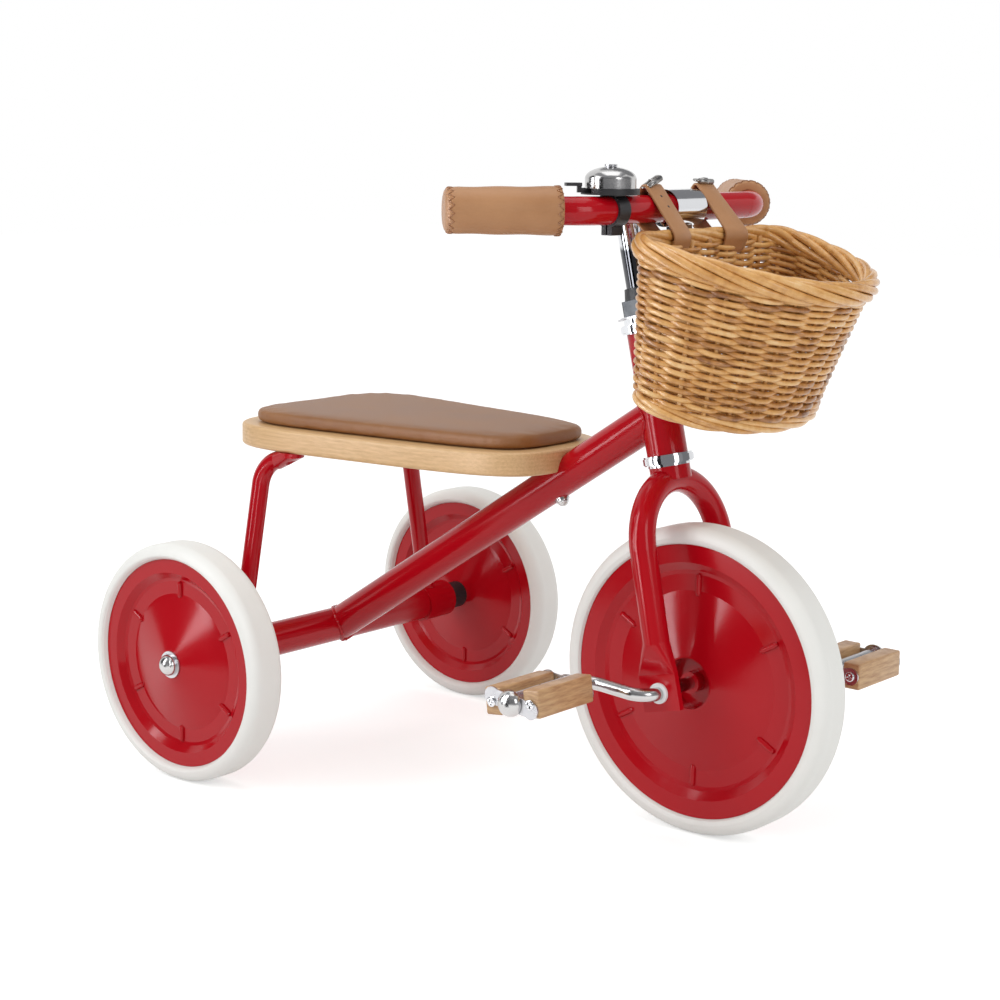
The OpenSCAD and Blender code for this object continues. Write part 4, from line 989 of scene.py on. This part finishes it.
def plait(stock, centre, strands, thick, tall, size, turns, count=300):
    """Strands wound round a flat core that follows centre(share) -> point, out and up axes."""
    for k in range(strands):
        path = []
        for i in range(count):
            share = i / count
            middle, outward, upward = centre(share)
            turn = math.tau * (k / strands + turns * share)
            path.append(middle + outward * (thick * math.cos(turn))
                        + upward * (tall * math.sin(turn)))
        wander = [size * (1 + 0.10 * noise.noise(Vector((i * 0.03, k * 7.7, 1))))
                  for i in range(count)]
        stock.add(*rod(path, wander, 12, closed=True), random.uniform(0.35, 0.95))


def rim_centre(share):
    """The border's core, pressed flat where it lies against the straps at the straight back."""
    ahead, aside, nx, ny = basket_line(rim_size, share)
    middle = basket_spot(share, 1.0)
    forward = Vector((math.cos(rim_tilt), 0, -math.sin(rim_tilt)))
    up = Vector((math.sin(rim_tilt), 0, math.cos(rim_tilt)))
    outward = forward * nx + Vector((0, ny, 0))
    flat = max(0.0, -nx) ** 8
    return (middle - up * 10 * mm + outward * (3.0 * mm * flat), outward * (1 - 0.58 * flat),
            up * (1 - 0.2 * flat))


def foot_centre(share):
    """The core of the thinner plait round the foot."""
    ahead, aside, nx, ny = basket_line(foot_size, share)
    middle = basket_spot(share, 0.0, 1.0 * mm)
    forward = Vector((math.cos(foot_tilt), 0, -math.sin(foot_tilt)))
    up = Vector((math.sin(foot_tilt), 0, math.cos(foot_tilt)))
    return middle + up * 4.5 * mm, forward * nx + Vector((0, ny, 0)), up


plait(weave, rim_centre, strands=6, thick=4.3 * mm, tall=6.9 * mm, size=3.2 * mm, turns=-3)
plait(weave, foot_centre, strands=4, thick=2.2 * mm, tall=3.4 * mm, size=2.4 * mm, turns=-3)
floor_corner = back_corner - 9 * mm
floor_rod_r = 2.2 * mm
floor_line = []
for k in range(181):
    ahead, aside, nx, ny = basket_line(foot_size, k / 360)
    floor_line.append((back_corner + ahead + nx * floor_corner, abs(aside + ny * floor_corner)))
for row in range(20):
    x = (11 + 4.2 * row) * mm
    limit = max([y for depth, y in floor_line if abs(depth - x) < 2.5 * mm], default=0)
    path = []
    for k in range(41):
        lift = 1.4 * mm * math.cos(math.pi * (k / 4 + row))
        path.append(foot_at + Vector((x * math.cos(foot_tilt), limit * (k / 20 - 1),
                                      -x * math.sin(foot_tilt) + 4.5 * mm + lift)))
    weave.add(*rod(path, floor_rod_r, 8), random.uniform(0.2, 0.8))
made = weave.piece("basket_weave", "bar", "wicker", willow)
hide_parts("basket")


# ---------- straps and buckles ----------
# Two tan leather straps hold the basket: each is a belt round the bar and under the border, with
# a steel roller buckle lying on top and, on its front run, thin black discs as painted shade for punched
# holes.
strap_w = 20 * mm
strap_t = 2.2 * mm
strap_y = 36 * mm
rim_in = rim_at - bar_at
peak = Vector((-1 * mm, 0, bar_r + 4.5 * mm))


def in_rim(x, z):
    """A point of the border's cross-section at the back, seen from the strap's side."""
    return rim_in + Vector((x * math.cos(rim_tilt) + z * math.sin(rim_tilt), 0,
                            -x * math.sin(rim_tilt) + z * math.cos(rim_tilt)))


def belt_line(grow, spacing=1.5 * mm):
    """A strap's way round the bar, the peak and the border, seen from its side: a tight belt."""
    rounds = [(Vector((0, 0, 0)), bar_r + 0.3 * mm), (peak, 1.5 * mm)]
    rounds += [(in_rim(x * mm, z * mm), r * mm)
               for x, z, r in ((3.6, -9, 7.8), (5, -16, 5.4), (2.5, -18, 4))]
    line = []
    for step in range(0, 361, 4):
        turn = math.radians(step)
        facing = Vector((math.cos(turn), 0, math.sin(turn)))
        centre, radius = max(rounds, key=lambda r: r[0].dot(facing) + r[1])
        line.append(centre + facing * (radius + grow))
    fine = [line[0]]
    for a, b in zip(line, line[1:]):
        pieces = max(1, int((b - a).length / spacing))
        fine.extend([a.lerp(b, (k + 1) / pieces) for k in range(pieces)])
    return fine


def band(stock, line, y, width, thick, skew, drift):
    """A closed flat strap with rounded edges along line. Where it comes down to the basket, skew
    turns its face sideways and drift carries it along the bar, as slack leather does."""
    section = [(-0.5, -0.3), (-0.46, -0.5), (0.46, -0.5), (0.5, -0.3), (0.5, 0.3), (0.46, 0.5),
               (-0.46, 0.5), (-0.5, 0.3)]
    count, points, faces = len(line), [], []
    for i, spot in enumerate(line):
        ahead = (line[(i + 1) % count] - line[i - 1]).normalized()
        up = Vector((0, 1, 0)).cross(ahead)
        for a, b in section:
            slack = min(1.0, max(0.0, (spot.x - 4 * mm) / (30 * mm)))
            aside = skew * slack * ((a + 0.5) if skew > 0 else (a - 0.5))
            across = y + a * width + drift * slack
            points.append(bar_at + spot + Vector((aside * width, across, 0)) + up * (b * thick))
    sides = len(section)
    for i in range(count):
        a, b = i * sides, (i + 1) % count * sides
        for k in range(sides):
            m = (k + 1) % sides
            faces.append((a + k, b + k, b + m, a + m))
    stock.add(points, faces)


def buckle(stock, middle, roll, width, length, wire):
    """A wire frame with rounded corners, a roller on its front bar and a prong."""
    turn = Matrix.Rotation(roll, 4, "X") @ Matrix.Rotation(math.radians(10), 4, "Y")
    turn.translation = middle
    corner = 2.2 * mm
    line = []
    for cx, cy, first in ((1, 1, 0), (-1, 1, 90), (-1, -1, 180), (1, -1, 270)):
        for step in range(5):
            a = math.radians(first + 22.5 * step)
            line.append(Vector((cx * (length / 2 - corner) + corner * math.cos(a),
                                cy * (width / 2 - corner) + corner * math.sin(a), 0)))
    stock.add(*placed(rod(line, wire, 8, closed=True), turn))
    roller = [Vector((length / 2, y, 0)) for y in (-width / 2 + 2.5 * mm, width / 2 - 2.5 * mm)]
    stock.add(*placed(rod(roller, wire * 2.3, 16), turn))
    prong = [Vector((-length / 2, 0, wire)), Vector((0, 0, wire * 1.9)),
             Vector((length / 2 + wire, 0, wire * 2.2))]
    stock.add(*placed(rod(prong, wire * 0.9, 8), turn))


straps = Stock()
buckles = Stock()
holes = Stock()
for side, width, skew, lean, punched in (
        (-1, 22 * mm, 0.0, 22, (12, 23)), (1, 23 * mm, 0.24, -3, (10,))):
    belt = belt_line(strap_t / 2)[:-1]
    band(straps, belt, side * strap_y, width, strap_t, skew, drift=-5 * mm)
    crest = max(range(len(belt)), key=lambda i: belt[i].z)
    for distance in punched:
        k = next(i for i in range(crest, 0, -1) if (belt[i] - belt[crest]).length > distance * mm)
        up = Vector((0, 1, 0)).cross(belt[k + 1] - belt[k - 1])
        up = up if up.z > 0 else -up
        spot = bar_at + belt[k] + Vector((0, side * strap_y, 0)) + up.normalized() * (strap_t * 0.5)
        # Each hole is a thin black disc laid on the strap: painted shade standing in for a punched hole
        hole = turned([(0, 0.14 * mm), (1.0 * mm, 0.1 * mm), (1.2 * mm, 0)], 12)
        holes.add(*placed(hole, lying(spot, up)))
    middle = bar_at + peak + Vector((0, side * strap_y, 1.5 * mm + strap_t + 1.6 * mm))
    buckle(buckles, middle, math.radians(lean), width=strap_w + 3 * mm, length=5 * mm,
           wire=1.0 * mm)
made = straps.piece("strap_leather", "bar", "tan_leather", tan_leather)
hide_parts("basket_straps")
holes.piece("strap_hole_shades", "bar", "tan_leather", black_plastic)
buckle_steel = skin_finish("buckle_steel", (0.26, 0.25, 0.24), (0.42, 0.41, 0.40), (0.22, 0.36),
                           metallic=1.0, scale=160.0, ripple_scale=900.0, ripple_depth=0.12)
made = buckles.piece("buckle_wire", "bar", "zinc_steel", buckle_steel)
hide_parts("strap_buckles")
